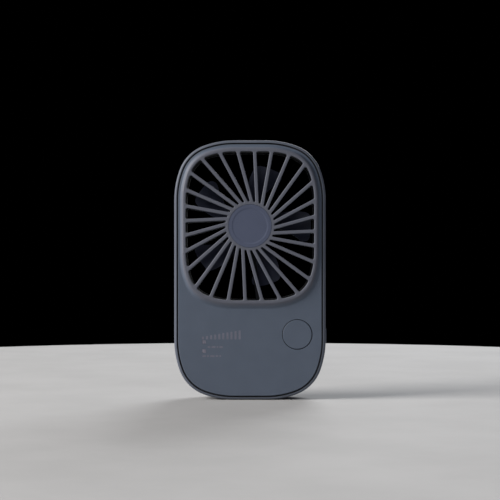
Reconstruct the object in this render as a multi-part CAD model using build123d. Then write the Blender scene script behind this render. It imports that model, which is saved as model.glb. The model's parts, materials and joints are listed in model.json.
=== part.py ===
"""Pocket box fan: a slim upright casing with a spoked grille, a five-blade impeller and a battery below it.

X runs to the right seen from the front, Y from front to back, Z up. The origin is the middle of the
flat the fan stands on. All sizes are in millimetres.
"""

from build123d import *
from math import cos, pi, radians, sin, sqrt, tan
import os

# ---- Driving dimensions ----------------------------------------------------------------------------
# Casing
BODY_W = 82.0
BODY_H = 140.4
BODY_D = 22.0
EASE_R = 47.9  # long arc that eases each corner into the straight sides
CORNER_R = 21.9  # tight arc in the middle of each corner
EASE_DEG = 20.0  # turn of each long arc
WALL = 2.4
BACK_T = 2.0
RIM = 1.6  # width of the rear housing's edge that shows round the cover
RIM_ROUND = 1.2
RIM_INNER_ROUND = 0.3
BACK_ROUND = 3.5

# Front cover and its raised grille
COVER_T = 1.8
COVER_GAP = 0.5
COVER_ROUND = 0.4
BEZEL_SIDE = 6.25  # from the casing's side to the grille opening
BEZEL_TOP = 6.1
PANEL_H = 53.8  # from the base up to the grille opening
RISE = 1.5  # height of the grille above the cover's face
LAND = 1.55  # from the opening to the crest of the slope
SLOPE = 1.3  # width of the slope, seen from the front
LOW_SLOPE = 2.9  # the same below the opening, where it fades into the panel
CREST_ROUND = 1.2
FOOT_ROUND = 1.6

SPOKES = 28
SPOKE_W = 1.8
SPOKE_LEAN = 4.4  # radius of the circle that every spoke's centre line touches
SPOKE_START_DEG = -2.6
SPOKE_ROUND = 0.35
GAP_OUTER_ROUND = 1.0
GAP_INNER_ROUND = 0.4
HUB_R = 13.2

CAP_RIM = 1.5  # ring of the hub left round the cap
CAP_T = 1.0
CAP_SINK = 0.1
CAP_GAP = 0.08
CAP_ROUND = 0.15
DISH_RIM = 1.8  # from the cap's edge to its shallow dish
DISH_SLOPE = 0.8
DISH_DEPTH = 0.11

# Rear grille
REAR_SPOKE_W = 1.7
REAR_GRILLE_T = 2.4
FLANGE_W = 2.0  # overlap of the rear grille on its ledge
FLANGE_T = 1.2
DUCT_GAP = 0.6  # duct wall set back from the opening
DUCT_T = 1.2
FIT = 0.2  # clearance of parts that drop into one another

# Impeller
BLADES = 5
TIP_GAP = 1.45
BLADE_T = 1.1
BLADE_START_DEG = 7.0
BLADE_FRONT_CLEAR = 1.5  # from the wire rib
BLADE_REAR_CLEAR = 4.0  # from the rear grille
ROOT_HALF_DEG, MIDDLE_HALF_DEG, TIP_HALF_DEG = 13.0, 15.5, 16.0
MIDDLE_SWEEP_DEG, TIP_SWEEP_DEG = 6.0, 15.0
ROOT_TRIM, TIP_TRIM = 0.4, 0.2  # how much shallower than at their middle the blades are
CAMBER = 0.9
TIP_CORNER_R = 3.2
IMPELLER_HUB_WALL = 1.7
IMPELLER_HUB_CLEAR = 0.5  # from the wire rib
IMPELLER_END_T = 1.4
IMPELLER_END_ROUND = 1.4

# Motor, outer rotor on a brass-bushed post
BRACKET_R = 9.0
BRACKET_T = 1.2
POST_R = 3.2
POST_L = 8.4
BUSH_R = 2.3
BUSH_L = 7.8
SHAFT_R = 1.0
RUNNING_GAP = 0.03
CLIP_R = 2.1
CLIP_T = 0.4
CLIP_GROOVE = 0.25
WASHER_T = 0.35
STATOR_R = 9.0
STATOR_L = 4.4
TEETH = 9
TOOTH_W = 1.6
SHOE_T = 0.9
SLOT_W = 1.3
COIL_T = 1.0
AIR_GAP = 0.3
MAGNET_T = 1.2
MAGNET_L = 5.8
YOKE_T = 0.7
YOKE_END_T = 1.0
MOTOR_BOARD_T = 0.8
MOTOR_BOARD_INSET = 0.5  # smaller in radius than the rotor's bore
STATOR_LIFT = 1.6  # from the motor board to the core
ROTOR_FIT = 0.1  # between the yoke and the impeller's hub
MAGNET_SET = 0.6  # from the yoke's end wall to the magnet
YOKE_SKIRT = 0.1  # how far the yoke reaches past the magnet
HUB_END_GAP = 1.4  # from the yoke to the hub's end wall
SHAFT_END_COVER = 0.6  # hub material left over the shaft's end
SHAFT_NOSE = 0.8  # shaft left in front of its clip

# Wire rib behind the grille
RIB_DEG = 173.6  # clockwise from straight up
RIB_WALL = 0.45
RIB_FRONT_T = 0.6  # wall in front of the wires
RIB_DEPTH = 2.2
RIB_COVER_T = 0.5
MOTOR_WIRE_R = 0.3
MOTOR_WIRE_GAP = 0.12  # between the two wires
WIRE_PLAY = 0.1  # from a wire to the channel round it
WIRE_BEND = 2.4  # from the motor board to where the wires lie flat in the rib
BATTERY_WIRE_R = 0.5

# Round front button and its switch
BUTTON_R = 7.9
BUTTON_GAP = 0.35
BUTTON_SIDE = 15.45  # from the casing's side to the button's centre
BUTTON_DROP = 18.4  # from the opening down to the button's centre
BUTTON_FLANGE = 1.4
BUTTON_FLANGE_T = 0.7
BUTTON_ROUND = 0.3
BUTTON_TRAVEL = 0.4
SWITCH_W = 6.2
SWITCH_H = 2.0
PLUNGER_R = 1.6
PLUNGER_SINK = 0.6
PLAY = 0.05

# Side key and its switch
KEY_L = 8.1
KEY_W = 3.6
KEY_PROUD = 0.65
KEY_FLANGE = 1.0
KEY_FLANGE_T = 0.7
KEY_TRAVEL = 0.4
KEY_PLAY = 0.25  # from the flange to the casing wall
KEY_DROP = 19.8  # from the opening down to the key's centre
SIDE_SWITCH_L, SIDE_SWITCH_W, SIDE_SWITCH_H = 4.2, 5.0, 3.2
SIDE_PLUNGER_R = 0.8

# Circuit board and what is on it
BOARD_T = 1.2
BOARD_STANDOFF = 3.6
BOARD_TOP_GAP = 6.0  # from the duct down to the board
BOARD_LOW_GAP = 2.7  # from the lower screw posts up to the board
BOARD_LEFT_GAP = 7.6  # from the casing's inner wall
BOARD_RIGHT_GAP = 3.2
BOARD_SCREW_INSET = 3.4
TONGUE_HALF_W = 12.0
BOARD_BOTTOM = 3.4
STANDOFF_R = 2.4
USB_W, USB_H, USB_L = 8.94, 3.26, 7.35
USB_SHELL_T = 0.3
USB_SINK = 0.8
USB_GAP = 0.25
SOCKET_W, SOCKET_H, SOCKET_D = 6.0, 4.0, 2.9
WINDOW_W = 2.0
WINDOW_SIDE = 16.2  # from the casing's side
WINDOW_DROPS = (22.5, 27.4)  # from the opening down to each window

# Battery
BATTERY_SIDE_GAP = 9.1  # from the casing's inner wall
BATTERY_LOW_GAP = 0.8  # from the lower screw bosses
BATTERY_TOP_GAP = 4.4  # from the duct
BATTERY_FRONT_GAP = 1.4  # from the sockets on the board
BATTERY_PAD_T = 0.5
BATTERY_ROUND = 1.6
BATTERY_SOCKET_X = -18.0
BATTERY_WIRE_PITCH = 1.5
GUARD_BOARD_W, GUARD_BOARD_T = 40.0, 0.8
GUARD_GAP = 0.3  # from the cell's top to the protection board
GUARD_INSET = 1.3  # from the cell's front and back to the protection board

# Fastenings
POST_OUTER_R = 2.7
BOSS_OUTER_R = 3.2
SCREW_R = 1.0
SCREW_HEAD_R = 1.9
SCREW_HEAD_T = 1.3
SCREW_L = 8.0
SCREW_POCKET_R = 2.3
SCREW_POCKET_FLOOR = 1.6  # wall left under the head
SCREW_POCKET_DEPTH = 8.0  # from the back to where the screw heads bear
UPPER_SCREW_SIDE = 7.0  # from the casing's side
UPPER_SCREW_DROP = 4.0  # from the opening
LOWER_SCREW_SIDE = 11.8
LOWER_SCREW_Z = 11.6
SMALL_SCREW_R = 0.7
SMALL_HEAD_R = 1.4
SMALL_HEAD_T = 0.8
MOTOR_SCREW_CIRCLE_R = 6.4

# ---- Places worked out from the driving dimensions --------------------------------------------------
Y_RIM = -BODY_D / 2
Y_BACK = BODY_D / 2
Y_FLOOR = Y_BACK - BACK_T  # inner face of the back
Y_COVER_BACK = Y_RIM + COVER_T
Y_GRILLE = Y_RIM - RISE
Y_BOARD_FRONT = Y_COVER_BACK + BOARD_STANDOFF
Y_BOARD_BACK = Y_BOARD_FRONT + BOARD_T
Y_RIB_BACK = Y_COVER_BACK + RIB_DEPTH
Y_BLADE_FRONT = Y_RIB_BACK + BLADE_FRONT_CLEAR
Y_BLADE_REAR = Y_BACK - REAR_GRILLE_T - BLADE_REAR_CLEAR
Y_BLADE_MID = (Y_BLADE_FRONT + Y_BLADE_REAR) / 2
BLADE_LIFT = (Y_BLADE_REAR - Y_BLADE_FRONT - BLADE_T) / 2  # half the axial depth of a blade's middle
CHANNEL_W = 4 * MOTOR_WIRE_R + MOTOR_WIRE_GAP + 2 * WIRE_PLAY
RIB_W = CHANNEL_W + 2 * RIB_WALL

OPENING_HALF_W = BODY_W / 2 - BEZEL_SIDE
OPENING_HALF_H = (BODY_H - BEZEL_TOP - PANEL_H) / 2
OPENING_BOTTOM = PANEL_H
HUB_Z = OPENING_BOTTOM + OPENING_HALF_H
CAP_R = HUB_R - CAP_RIM
DUCT_BOTTOM = OPENING_BOTTOM - DUCT_GAP - DUCT_T
IMPELLER_R = min(OPENING_HALF_W, OPENING_HALF_H) - TIP_GAP
INNER_HALF_W = BODY_W / 2 - WALL

BUTTON_X = BODY_W / 2 - BUTTON_SIDE
BUTTON_Z = OPENING_BOTTOM - BUTTON_DROP
KEY_Z = OPENING_BOTTOM - KEY_DROP
KEY_Y = Y_BOARD_BACK + SIDE_SWITCH_H / 2
USB_Y = Y_BOARD_BACK + USB_H / 2

WINDOW_X = WINDOW_SIDE - BODY_W / 2

BOARD_TOP = DUCT_BOTTOM - BOARD_TOP_GAP
BOARD_LOW = LOWER_SCREW_Z + POST_OUTER_R + BOARD_LOW_GAP
BOARD_LEFT = BOARD_LEFT_GAP - INNER_HALF_W
BOARD_RIGHT = INNER_HALF_W - BOARD_RIGHT_GAP
BATTERY_HALF_W = INNER_HALF_W - BATTERY_SIDE_GAP
BATTERY_FLOOR = LOWER_SCREW_Z + BOSS_OUTER_R + BATTERY_LOW_GAP
BATTERY_TOP = DUCT_BOTTOM - BATTERY_TOP_GAP
Y_BATTERY_BACK = Y_FLOOR - BATTERY_PAD_T
Y_BATTERY_FRONT = Y_BOARD_BACK + SOCKET_D + BATTERY_FRONT_GAP
GUARD_Z = BATTERY_TOP + GUARD_GAP
Y_GUARD_FRONT = Y_BATTERY_FRONT + GUARD_INSET
Y_GUARD_BACK = Y_BATTERY_BACK - GUARD_INSET

CASE_SCREWS = [
    (side * (BODY_W / 2 - inset), height)
    for side in (-1, 1)
    for inset, height in (
        (UPPER_SCREW_SIDE, OPENING_BOTTOM - UPPER_SCREW_DROP),
        (LOWER_SCREW_SIDE, LOWER_SCREW_Z),
    )
]
Y_SCREW_SEAT = Y_BACK - SCREW_POCKET_DEPTH
BOARD_SCREWS = [
    (BOARD_LEFT + BOARD_SCREW_INSET, BOARD_TOP - BOARD_SCREW_INSET),
    (BOARD_RIGHT - BOARD_SCREW_INSET, BOARD_LOW + BOARD_SCREW_INSET),
    (0.0, BOARD_LOW + BOARD_SCREW_INSET),
]

# Motor stack, from the back of the grille's hub towards the rear
Y_BRACKET_BACK = Y_COVER_BACK + BRACKET_T
Y_POST_END = Y_BRACKET_BACK + POST_L
Y_BUSH_START = Y_POST_END - BUSH_L
Y_MOTOR_BOARD_BACK = Y_BRACKET_BACK + MOTOR_BOARD_T
Y_STATOR_START = Y_MOTOR_BOARD_BACK + STATOR_LIFT
Y_STATOR_END = Y_STATOR_START + STATOR_L
Y_WASHER = Y_POST_END + PLAY
Y_YOKE_END = Y_WASHER + WASHER_T
Y_YOKE_BACK = Y_YOKE_END + YOKE_END_T
Y_HUB_INNER = Y_YOKE_BACK + HUB_END_GAP
Y_HUB_BACK = Y_HUB_INNER + IMPELLER_END_T
Y_SHAFT_END = Y_HUB_BACK - SHAFT_END_COVER
Y_CLIP = Y_BUSH_START - PLAY - CLIP_T
Y_SHAFT_FRONT = Y_CLIP - SHAFT_NOSE
Y_MAGNET_BACK = Y_YOKE_END - MAGNET_SET
Y_MAGNET_FRONT = Y_MAGNET_BACK - MAGNET_L
MAGNET_INNER_R = STATOR_R + AIR_GAP
YOKE_INNER_R = MAGNET_INNER_R + MAGNET_T
YOKE_R = YOKE_INNER_R + YOKE_T
MOTOR_BOARD_R = YOKE_INNER_R - MOTOR_BOARD_INSET
HUB_CAVITY_R = YOKE_R + ROTOR_FIT
IMPELLER_HUB_R = HUB_CAVITY_R + IMPELLER_HUB_WALL


# ---- Shared helpers --------------------------------------------------------------------------------
def slab(outline, y_front, y_back):
    """Solid from an outline drawn in (X, Z), between two depths."""
    return extrude(Plane.XZ.offset(-y_back) * outline, amount=y_back - y_front)


def rod(x, z, radius, y_front, y_back):
    """Round bar along Y."""
    return slab(Pos(x, z) * Circle(radius), y_front, y_back)


def tube(x, z, outer, inner, y_front, y_back):
    return slab(Pos(x, z) * (Circle(outer) - Circle(inner)), y_front, y_back)


def block(x_low, x_high, y_low, y_high, z_low, z_high):
    box = Box(x_high - x_low, y_high - y_low, z_high - z_low, align=(Align.MIN,) * 3)
    return Pos(x_low, y_low, z_low) * box


def eased_outline(half_w, half_h, ease_r, corner_r):
    """Rounded rectangle whose corners are a long, a tight and a long arc, all tangent."""
    s, c = sin(radians(EASE_DEG)), cos(radians(EASE_DEG))
    reach = ease_r * (1 - c + s) + corner_r * (c - s)
    at, heading, edges = Vector(half_w, reach - half_h), Vector(0, 1), []
    for half_side in (half_h, half_w, half_h, half_w):
        straight = Line(at, at + heading * 2 * (half_side - reach))
        at = straight @ 1
        edges.append(straight)
        for radius, turn in ((ease_r, EASE_DEG), (corner_r, 90 - 2 * EASE_DEG), (ease_r, EASE_DEG)):
            arc = JernArc(start=at, tangent=heading, radius=radius, arc_size=turn)
            at, heading = arc @ 1, arc % 1
            edges.append(arc)
    return make_face(Wire([edge for piece in edges for edge in piece.edges()]))


def body_outline(inset):
    """Casing outline, drawn in by a distance."""
    half_w, half_h = BODY_W / 2 - inset, BODY_H / 2 - inset
    return Pos(0, BODY_H / 2) * eased_outline(half_w, half_h, EASE_R - inset, CORNER_R - inset)


def opening_outline(grow):
    """Grille opening, grown by a distance."""
    inset = BEZEL_SIDE - grow
    return Pos(0, HUB_Z) * eased_outline(
        OPENING_HALF_W + grow, OPENING_HALF_H + grow, EASE_R - inset, CORNER_R - inset
    )


def bezel_foot(grow):
    """Where the bezel's slope meets the panel, grown by a distance; it reaches further down."""
    out, drop = LAND + SLOPE + grow, LOW_SLOPE - SLOPE
    inset = BEZEL_SIDE - out
    return Pos(0, HUB_Z - drop / 2) * eased_outline(
        OPENING_HALF_W + out, OPENING_HALF_H + out + drop / 2, EASE_R - inset, CORNER_R - inset
    )


def clockwise(angle_deg, radius, across=0.0):
    """Point (x, z) at an angle clockwise from straight up about the hub, shifted sideways."""
    a = radians(angle_deg)
    return (
        radius * sin(a) + across * cos(a),
        HUB_Z + radius * cos(a) - across * sin(a),
    )


def radial_bar(angle_deg, width, start, end, across=0.0):
    """Straight strip that runs outwards from the hub, drawn in (X, Z)."""
    strip = Pos(across, (start + end) / 2) * Rectangle(width, end - start)
    return Pos(0, HUB_Z) * Rot(Z=-angle_deg) * strip


def true_corners(face):
    """Vertices of a face where its outline really turns."""
    edges, found = face.outer_wire().edges(), []
    for vertex in face.vertices():
        tangents = []
        for edge in edges:
            for end in (0, 1):
                if (Vector(*vertex) - edge @ end).length < 1e-5:
                    tangents.append((edge % end) * (1 if end == 0 else -1))
        if len(tangents) == 2 and abs(tangents[0].get_angle(tangents[1]) - 180) > 15:
            found.append(vertex)
    return found


def touches(edge, corner):
    return any((edge @ end - Vector(*corner)).length < 1e-5 for end in (0, 1))


def with_one_outer_edge(face, hub_corners):
    """The same face with the whole run along the opening's outline as one smooth curve."""
    edges = face.outer_wire().edges()
    sides = [edge for edge in edges if any(touches(edge, corner) for corner in hub_corners)]
    rim = Wire([edge for edge in edges if edge not in sides])
    steps = 12
    curve = Spline([rim @ (n / steps) for n in range(steps + 1)], tangents=[rim % 0, rim % 1])
    return make_face(Wire([*sides, curve.edge()]))


def grille_gaps(spoke_w, y_front, y_back):
    """The openings between the spokes as prisms, each with rounded corners."""
    far = OPENING_HALF_H + OPENING_HALF_W
    hub_gap = 2 * pi * sqrt(HUB_R**2 - SPOKE_LEAN**2) / SPOKES - spoke_w
    radii = (GAP_OUTER_ROUND, min(GAP_INNER_ROUND, 0.45 * hub_gap))
    pattern = opening_outline(0) - Pos(0, HUB_Z) * Circle(HUB_R)
    for n in range(SPOKES):
        pattern -= radial_bar(SPOKE_START_DEG + n * 360 / SPOKES, spoke_w, 0, far, SPOKE_LEAN)
    gaps = []
    for face in pattern.faces():
        at_rim, at_hub = [], []
        for corner in true_corners(face):
            is_near = (Vector(*corner) - Vector(0, HUB_Z)).length < HUB_R + 1
            (at_hub if is_near else at_rim).append(corner)
        gap = slab(with_one_outer_edge(face, at_hub), y_front, y_back)
        for corners, radius in zip((at_rim, at_hub), radii):
            upright = [
                edge
                for edge in gap.edges().filter_by(Axis.Y)
                for corner in corners
                if abs((edge @ 0).X - corner.X) < 1e-4 and abs((edge @ 0).Z - corner.Y) < 1e-4
            ]
            gap = fillet(upright, radius)
        gaps.append(gap)
    return gaps


def edges_at_depth(shape, y):
    """Edges that lie wholly in the plane at depth y."""
    return [
        edge
        for edge in shape.edges()
        if abs(edge.bounding_box().min.Y - y) < 1e-4 and abs(edge.bounding_box().max.Y - y) < 1e-4
    ]


def foremost_face(shape):
    """The flat face that looks to the front from furthest forward."""
    return shape.faces().filter_by(Axis.Y).sort_by(Axis.Y)[0]


def inside(edges, outline):
    """Those edges whose middle lies within an outline's box, drawn in (X, Z)."""
    box = outline.bounding_box()
    return [
        edge
        for edge in edges
        if box.min.X < (edge @ 0.5).X < box.max.X and box.min.Y < (edge @ 0.5).Z < box.max.Y
    ]


def wire_run(points, wire_r):
    """Insulated wire: straight runs joined by tangent arcs, each as large as its runs allow."""
    route, radii = [Vector(*point) for point in points], []
    for before, here, after in zip(route, route[1:], route[2:]):
        run_in, run_out = here - before, after - here
        half_turn = radians(run_in.get_angle(run_out) / 2)
        radii.append(0.45 * min(run_in.length, run_out.length) / tan(half_turn))
    path = FilletPolyline(*route, radius=radii)
    section = Plane(origin=path @ 0, z_dir=path % 0) * Circle(wire_r)
    return sweep(section, path=path)


# ---- Casing ----------------------------------------------------------------------------------------
def make_rear_housing():
    shell = slab(body_outline(0), Y_RIM, Y_BACK)
    shell = fillet(edges_at_depth(shell, Y_BACK), BACK_ROUND)
    shell -= slab(body_outline(WALL), Y_RIM, Y_FLOOR)
    shell -= slab(body_outline(RIM), Y_RIM - RISE, Y_COVER_BACK)
    shell = fillet(foremost_face(shell).outer_wire().edges(), RIM_ROUND)
    shell = fillet(foremost_face(shell).inner_wires()[0].edges(), RIM_INNER_ROUND)

    # Duct round the impeller, open to the back
    duct = slab(
        opening_outline(DUCT_GAP + DUCT_T) - opening_outline(DUCT_GAP), Y_COVER_BACK, Y_FLOOR
    )
    shell += duct
    shell -= slab(opening_outline(DUCT_GAP), Y_COVER_BACK, Y_BACK)
    shell -= slab(opening_outline(FLANGE_W + FIT), Y_BACK - FLANGE_T, Y_BACK)
    rib_gap = radial_bar(RIB_DEG, RIB_W + 2 * FIT, OPENING_HALF_H - 2, OPENING_HALF_H + 5)
    shell -= slab(rib_gap, Y_COVER_BACK, Y_RIB_BACK + FIT)

    # Screw bosses with deep head pockets
    for x, z in CASE_SCREWS:
        shell += rod(x, z, BOSS_OUTER_R, Y_SCREW_SEAT - SCREW_POCKET_FLOOR, Y_FLOOR)
        shell -= rod(x, z, SCREW_POCKET_R, Y_SCREW_SEAT, Y_BACK)
        shell -= rod(x, z, SCREW_R + 0.1, Y_SCREW_SEAT - 2 * SCREW_POCKET_FLOOR, Y_SCREW_SEAT)

    # Fences that locate the battery
    fence_t, fence_h = 1.0, 5.0
    low = BATTERY_FLOOR - FIT - fence_t
    fence_half_w = BATTERY_HALF_W / 2
    shell += block(-fence_half_w, fence_half_w, Y_FLOOR - fence_h, Y_FLOOR, low, low + fence_t)
    for side in (-1, 1):
        near = side * (BATTERY_HALF_W + FIT)
        far = near + side * fence_t
        middle = (BATTERY_FLOOR + BATTERY_TOP) / 2
        shell += block(
            min(near, far), max(near, far), Y_FLOOR - fence_h, Y_FLOOR, middle - 7, middle + 3
        )

    # Charging socket and side key
    usb_hole = Pos(0, USB_Y) * RectangleRounded(
        USB_W + 2 * USB_GAP, USB_H + 2 * USB_GAP, (USB_H + 2 * USB_GAP) / 2 - 0.05
    )
    shell -= extrude(Plane.XY.offset(-1) * usb_hole, amount=WALL + 2)
    key_hole = Pos(KEY_Y, KEY_Z) * SlotOverall(KEY_L + 2 * FIT, KEY_W + 2 * FIT, rotation=90)
    shell -= extrude(Plane.YZ.offset(INNER_HALF_W - 1) * key_hole, amount=WALL + 2)
    return shell


def make_front_cover():
    plate = slab(body_outline(-3), Y_RIM, Y_COVER_BACK)
    crest = Plane.XZ.offset(-Y_GRILLE) * opening_outline(LAND)
    foot = Plane.XZ.offset(-Y_RIM) * bezel_foot(0)
    cover = plate + loft([foot, crest], ruled=True)
    cover = fillet(edges_at_depth(cover, Y_GRILLE), CREST_ROUND)
    foot_edges = inside(edges_at_depth(cover, Y_RIM), bezel_foot(0.2))
    cover = fillet(foot_edges, FOOT_ROUND)
    cover &= slab(body_outline(RIM + COVER_GAP), Y_GRILLE - 1, Y_COVER_BACK)
    cover = fillet(edges_at_depth(cover, Y_RIM), COVER_ROUND)

    # Grille
    for gap in grille_gaps(SPOKE_W, Y_GRILLE - 1, Y_COVER_BACK + 1):
        cover -= gap
    gap_edges = inside(edges_at_depth(cover, Y_GRILLE), opening_outline(0.1))
    cover = fillet(gap_edges, SPOKE_ROUND)

    # Hub: recess for the cap, shaft hole and sunk motor screws
    y_recess = Y_GRILLE + CAP_SINK + CAP_T
    cover -= rod(0, HUB_Z, CAP_R + CAP_GAP, Y_GRILLE - 1, y_recess)
    cover -= rod(0, HUB_Z, CLIP_R + 0.5, y_recess - 1, Y_COVER_BACK + 1)
    for x, z in motor_screw_places():
        cover -= rod(x, z, SMALL_HEAD_R + 0.15, y_recess - 1, y_recess + SMALL_HEAD_T + 0.1)
        cover -= rod(x, z, SMALL_SCREW_R + 0.1, y_recess, Y_COVER_BACK + 1)

    # Rib that carries the motor wires down to the board
    rib_start, rib_end = MOTOR_BOARD_R + 0.3, OPENING_HALF_H + DUCT_GAP + DUCT_T + 1.0
    rib = radial_bar(RIB_DEG, RIB_W, rib_start, rib_end)
    channel = radial_bar(RIB_DEG, CHANNEL_W, rib_start - 1, rib_end + 1)
    cover += slab(rib, Y_COVER_BACK, Y_RIB_BACK)
    cover -= slab(channel, Y_COVER_BACK + RIB_FRONT_T, Y_RIB_BACK + 1)

    # Button opening
    cover -= rod(BUTTON_X, BUTTON_Z, BUTTON_R + BUTTON_GAP, Y_GRILLE, Y_COVER_BACK + 1)

    # Light windows
    for drop in WINDOW_DROPS:
        window = Pos(WINDOW_X, OPENING_BOTTOM - drop) * Rectangle(WINDOW_W, WINDOW_W)
        cover -= slab(window, Y_GRILLE, Y_COVER_BACK + 1)

    # Screw posts and board standoffs
    for x, z in CASE_SCREWS:
        y_end = Y_SCREW_SEAT - SCREW_POCKET_FLOOR
        cover += tube(x, z, POST_OUTER_R, SCREW_R - 0.1, Y_COVER_BACK, y_end)
    for x, z in BOARD_SCREWS:
        cover += tube(x, z, STANDOFF_R, SMALL_SCREW_R - 0.05, Y_COVER_BACK, Y_BOARD_FRONT)

    # Tabs that slip between the duct and the casing wall at the top
    tab_low, tab_high = DUCT_GAP + DUCT_T + FIT, BEZEL_TOP - WALL - FIT
    for side in (-1, 1):
        z_low = HUB_Z + OPENING_HALF_H + tab_low
        z_high = HUB_Z + OPENING_HALF_H + tab_high
        cover += block(side * 5 - 3, side * 5 + 3, Y_COVER_BACK, Y_COVER_BACK + 5, z_low, z_high)
    return cover


def make_rear_grille():
    flange = slab(opening_outline(FLANGE_W), Y_BACK - FLANGE_T, Y_BACK)
    plug = slab(opening_outline(DUCT_GAP - FIT), Y_BACK - REAR_GRILLE_T, Y_BACK)
    grille = flange + plug
    for gap in grille_gaps(REAR_SPOKE_W, Y_BACK - REAR_GRILLE_T - 1, Y_BACK + 1):
        grille -= gap
    back_edges = inside(edges_at_depth(grille, Y_BACK), opening_outline(0.1))
    return fillet(back_edges, SPOKE_ROUND)


def make_hub_cap():
    y_front = Y_GRILLE + CAP_SINK
    cap = rod(0, HUB_Z, CAP_R, y_front, y_front + CAP_T)
    cap = fillet(edges_at_depth(cap, y_front), CAP_ROUND)
    mouth_r = CAP_R - DISH_RIM
    mouth = Plane.XZ.offset(-y_front) * Pos(0, HUB_Z) * Circle(mouth_r)
    bottom = Plane.XZ.offset(-y_front - DISH_DEPTH) * Pos(0, HUB_Z) * Circle(mouth_r - DISH_SLOPE)
    return cap - loft([mouth, bottom], ruled=True)


def make_wire_cover():
    start, end = MOTOR_BOARD_R + WIRE_BEND + 0.2, OPENING_HALF_H - 0.4
    strip = radial_bar(RIB_DEG, CHANNEL_W - 0.1, start, end)
    return slab(strip, Y_RIB_BACK - RIB_COVER_T, Y_RIB_BACK)


# ---- Impeller --------------------------------------------------------------------------------------
def blade_share(radius):
    """0 at the root of a blade, 1 at its tip."""
    return (radius - IMPELLER_HUB_R) / (IMPELLER_R - IMPELLER_HUB_R)


def through(low, middle, high, share):
    """Value of the parabola that passes through three values at shares 0, 0.5 and 1."""
    return low + share * (4 * middle - 3 * low - high) + share**2 * (2 * low - 4 * middle + 2 * high)


def blade_angle(radius, side):
    """Angle of a blade's edge (side -1 or 1) or of its middle (0), clockwise in degrees."""
    share = blade_share(radius)
    middle = through(0, MIDDLE_SWEEP_DEG, TIP_SWEEP_DEG, share)
    return middle + side * through(ROOT_HALF_DEG, MIDDLE_HALF_DEG, TIP_HALF_DEG, share)


def blade_point(radius, across, start_deg):
    """Point of the blade's middle surface; across runs from -1 to 1 between its edges."""
    x, z = clockwise(start_deg + blade_angle(radius, across), radius)
    lift = BLADE_LIFT - through(ROOT_TRIM, 0, TIP_TRIM, blade_share(radius))
    return Vector(x, Y_BLADE_MID + across * lift + CAMBER * (across**2 - 1), z)


def make_blade(start_deg):
    root_r, over = IMPELLER_HUB_R - 0.8, 1.25
    radii = [root_r - 1 + n * (IMPELLER_R + 3 - root_r + 1) / 7 for n in range(8)]
    rows = [
        [blade_point(radius, over * (n - 4) / 4, start_deg) for n in range(9)] for radius in radii
    ]
    surface = Face.make_surface_from_array_of_points(rows)
    sheet = thicken(surface, amount=BLADE_T / 2, both=True)

    def outline_point(radius, side):
        return clockwise(start_deg + blade_angle(radius, side), radius)

    middle_r = (root_r + IMPELLER_R) / 2
    sides = [
        ThreePointArc(*(outline_point(radius, side) for radius in (root_r, middle_r, IMPELLER_R)))
        for side in (-1, 1)
    ]
    root = Line(sides[0] @ 0, sides[1] @ 0)
    tip = ThreePointArc(sides[0] @ 1, outline_point(IMPELLER_R, 0), sides[1] @ 1)
    outline = make_face(Wire([e for line in (root, *sides, tip) for e in line.edges()]))
    hub = Vector(0, HUB_Z)
    tips = [v for v in outline.vertices() if (Vector(*v) - hub).length > IMPELLER_R - 0.5]
    outline = fillet(tips, TIP_CORNER_R)
    return sheet & slab(outline, Y_BLADE_MID - 9, Y_BLADE_MID + 9)


def make_impeller():
    hub_front = Y_RIB_BACK + IMPELLER_HUB_CLEAR
    hub = rod(0, HUB_Z, IMPELLER_HUB_R, hub_front, Y_HUB_BACK)
    hub = fillet(edges_at_depth(hub, Y_HUB_BACK), IMPELLER_END_ROUND)
    impeller = hub
    for n in range(BLADES):
        impeller += make_blade(BLADE_START_DEG + n * 360 / BLADES)
    impeller -= rod(0, HUB_Z, HUB_CAVITY_R, hub_front - 3, Y_HUB_INNER)
    impeller += rod(0, HUB_Z, 3.0, Y_YOKE_BACK, Y_HUB_INNER)
    impeller -= rod(0, HUB_Z, SHAFT_R, Y_YOKE_BACK - 1, Y_SHAFT_END)
    return impeller


# ---- Motor -----------------------------------------------------------------------------------------
def motor_screw_places():
    return [clockwise(60 + 120 * n, MOTOR_SCREW_CIRCLE_R) for n in range(3)]


def make_motor_bracket():
    bracket = rod(0, HUB_Z, BRACKET_R, Y_COVER_BACK, Y_BRACKET_BACK)
    bracket += rod(0, HUB_Z, POST_R, Y_BRACKET_BACK, Y_POST_END)
    bracket -= rod(0, HUB_Z, BUSH_R, Y_BUSH_START, Y_POST_END + 1)
    bracket -= rod(0, HUB_Z, CLIP_R + 0.3, Y_COVER_BACK - 1, Y_BUSH_START)
    for x, z in motor_screw_places():
        bracket -= rod(x, z, SMALL_SCREW_R, Y_COVER_BACK - 1, Y_BRACKET_BACK + 1)
    return bracket


def make_bearing_bush():
    return tube(0, HUB_Z, BUSH_R, SHAFT_R + RUNNING_GAP, Y_BUSH_START, Y_POST_END)


def make_motor_shaft():
    shaft = rod(0, HUB_Z, SHAFT_R, Y_SHAFT_FRONT, Y_SHAFT_END)
    shaft -= tube(0, HUB_Z, SHAFT_R + 1, SHAFT_R - CLIP_GROOVE, Y_CLIP, Y_CLIP + CLIP_T)
    return chamfer(edges_at_depth(shaft, Y_SHAFT_FRONT), 0.2)


def make_shaft_clip():
    ring = Circle(CLIP_R) - Circle(SHAFT_R - CLIP_GROOVE)
    ring -= Pos(0, CLIP_R / 2) * Rectangle(0.9, CLIP_R)
    return slab(Pos(0, HUB_Z) * ring, Y_CLIP, Y_CLIP + CLIP_T)


def make_thrust_washer():
    return tube(0, HUB_Z, BUSH_R, SHAFT_R, Y_WASHER, Y_YOKE_END)


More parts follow.
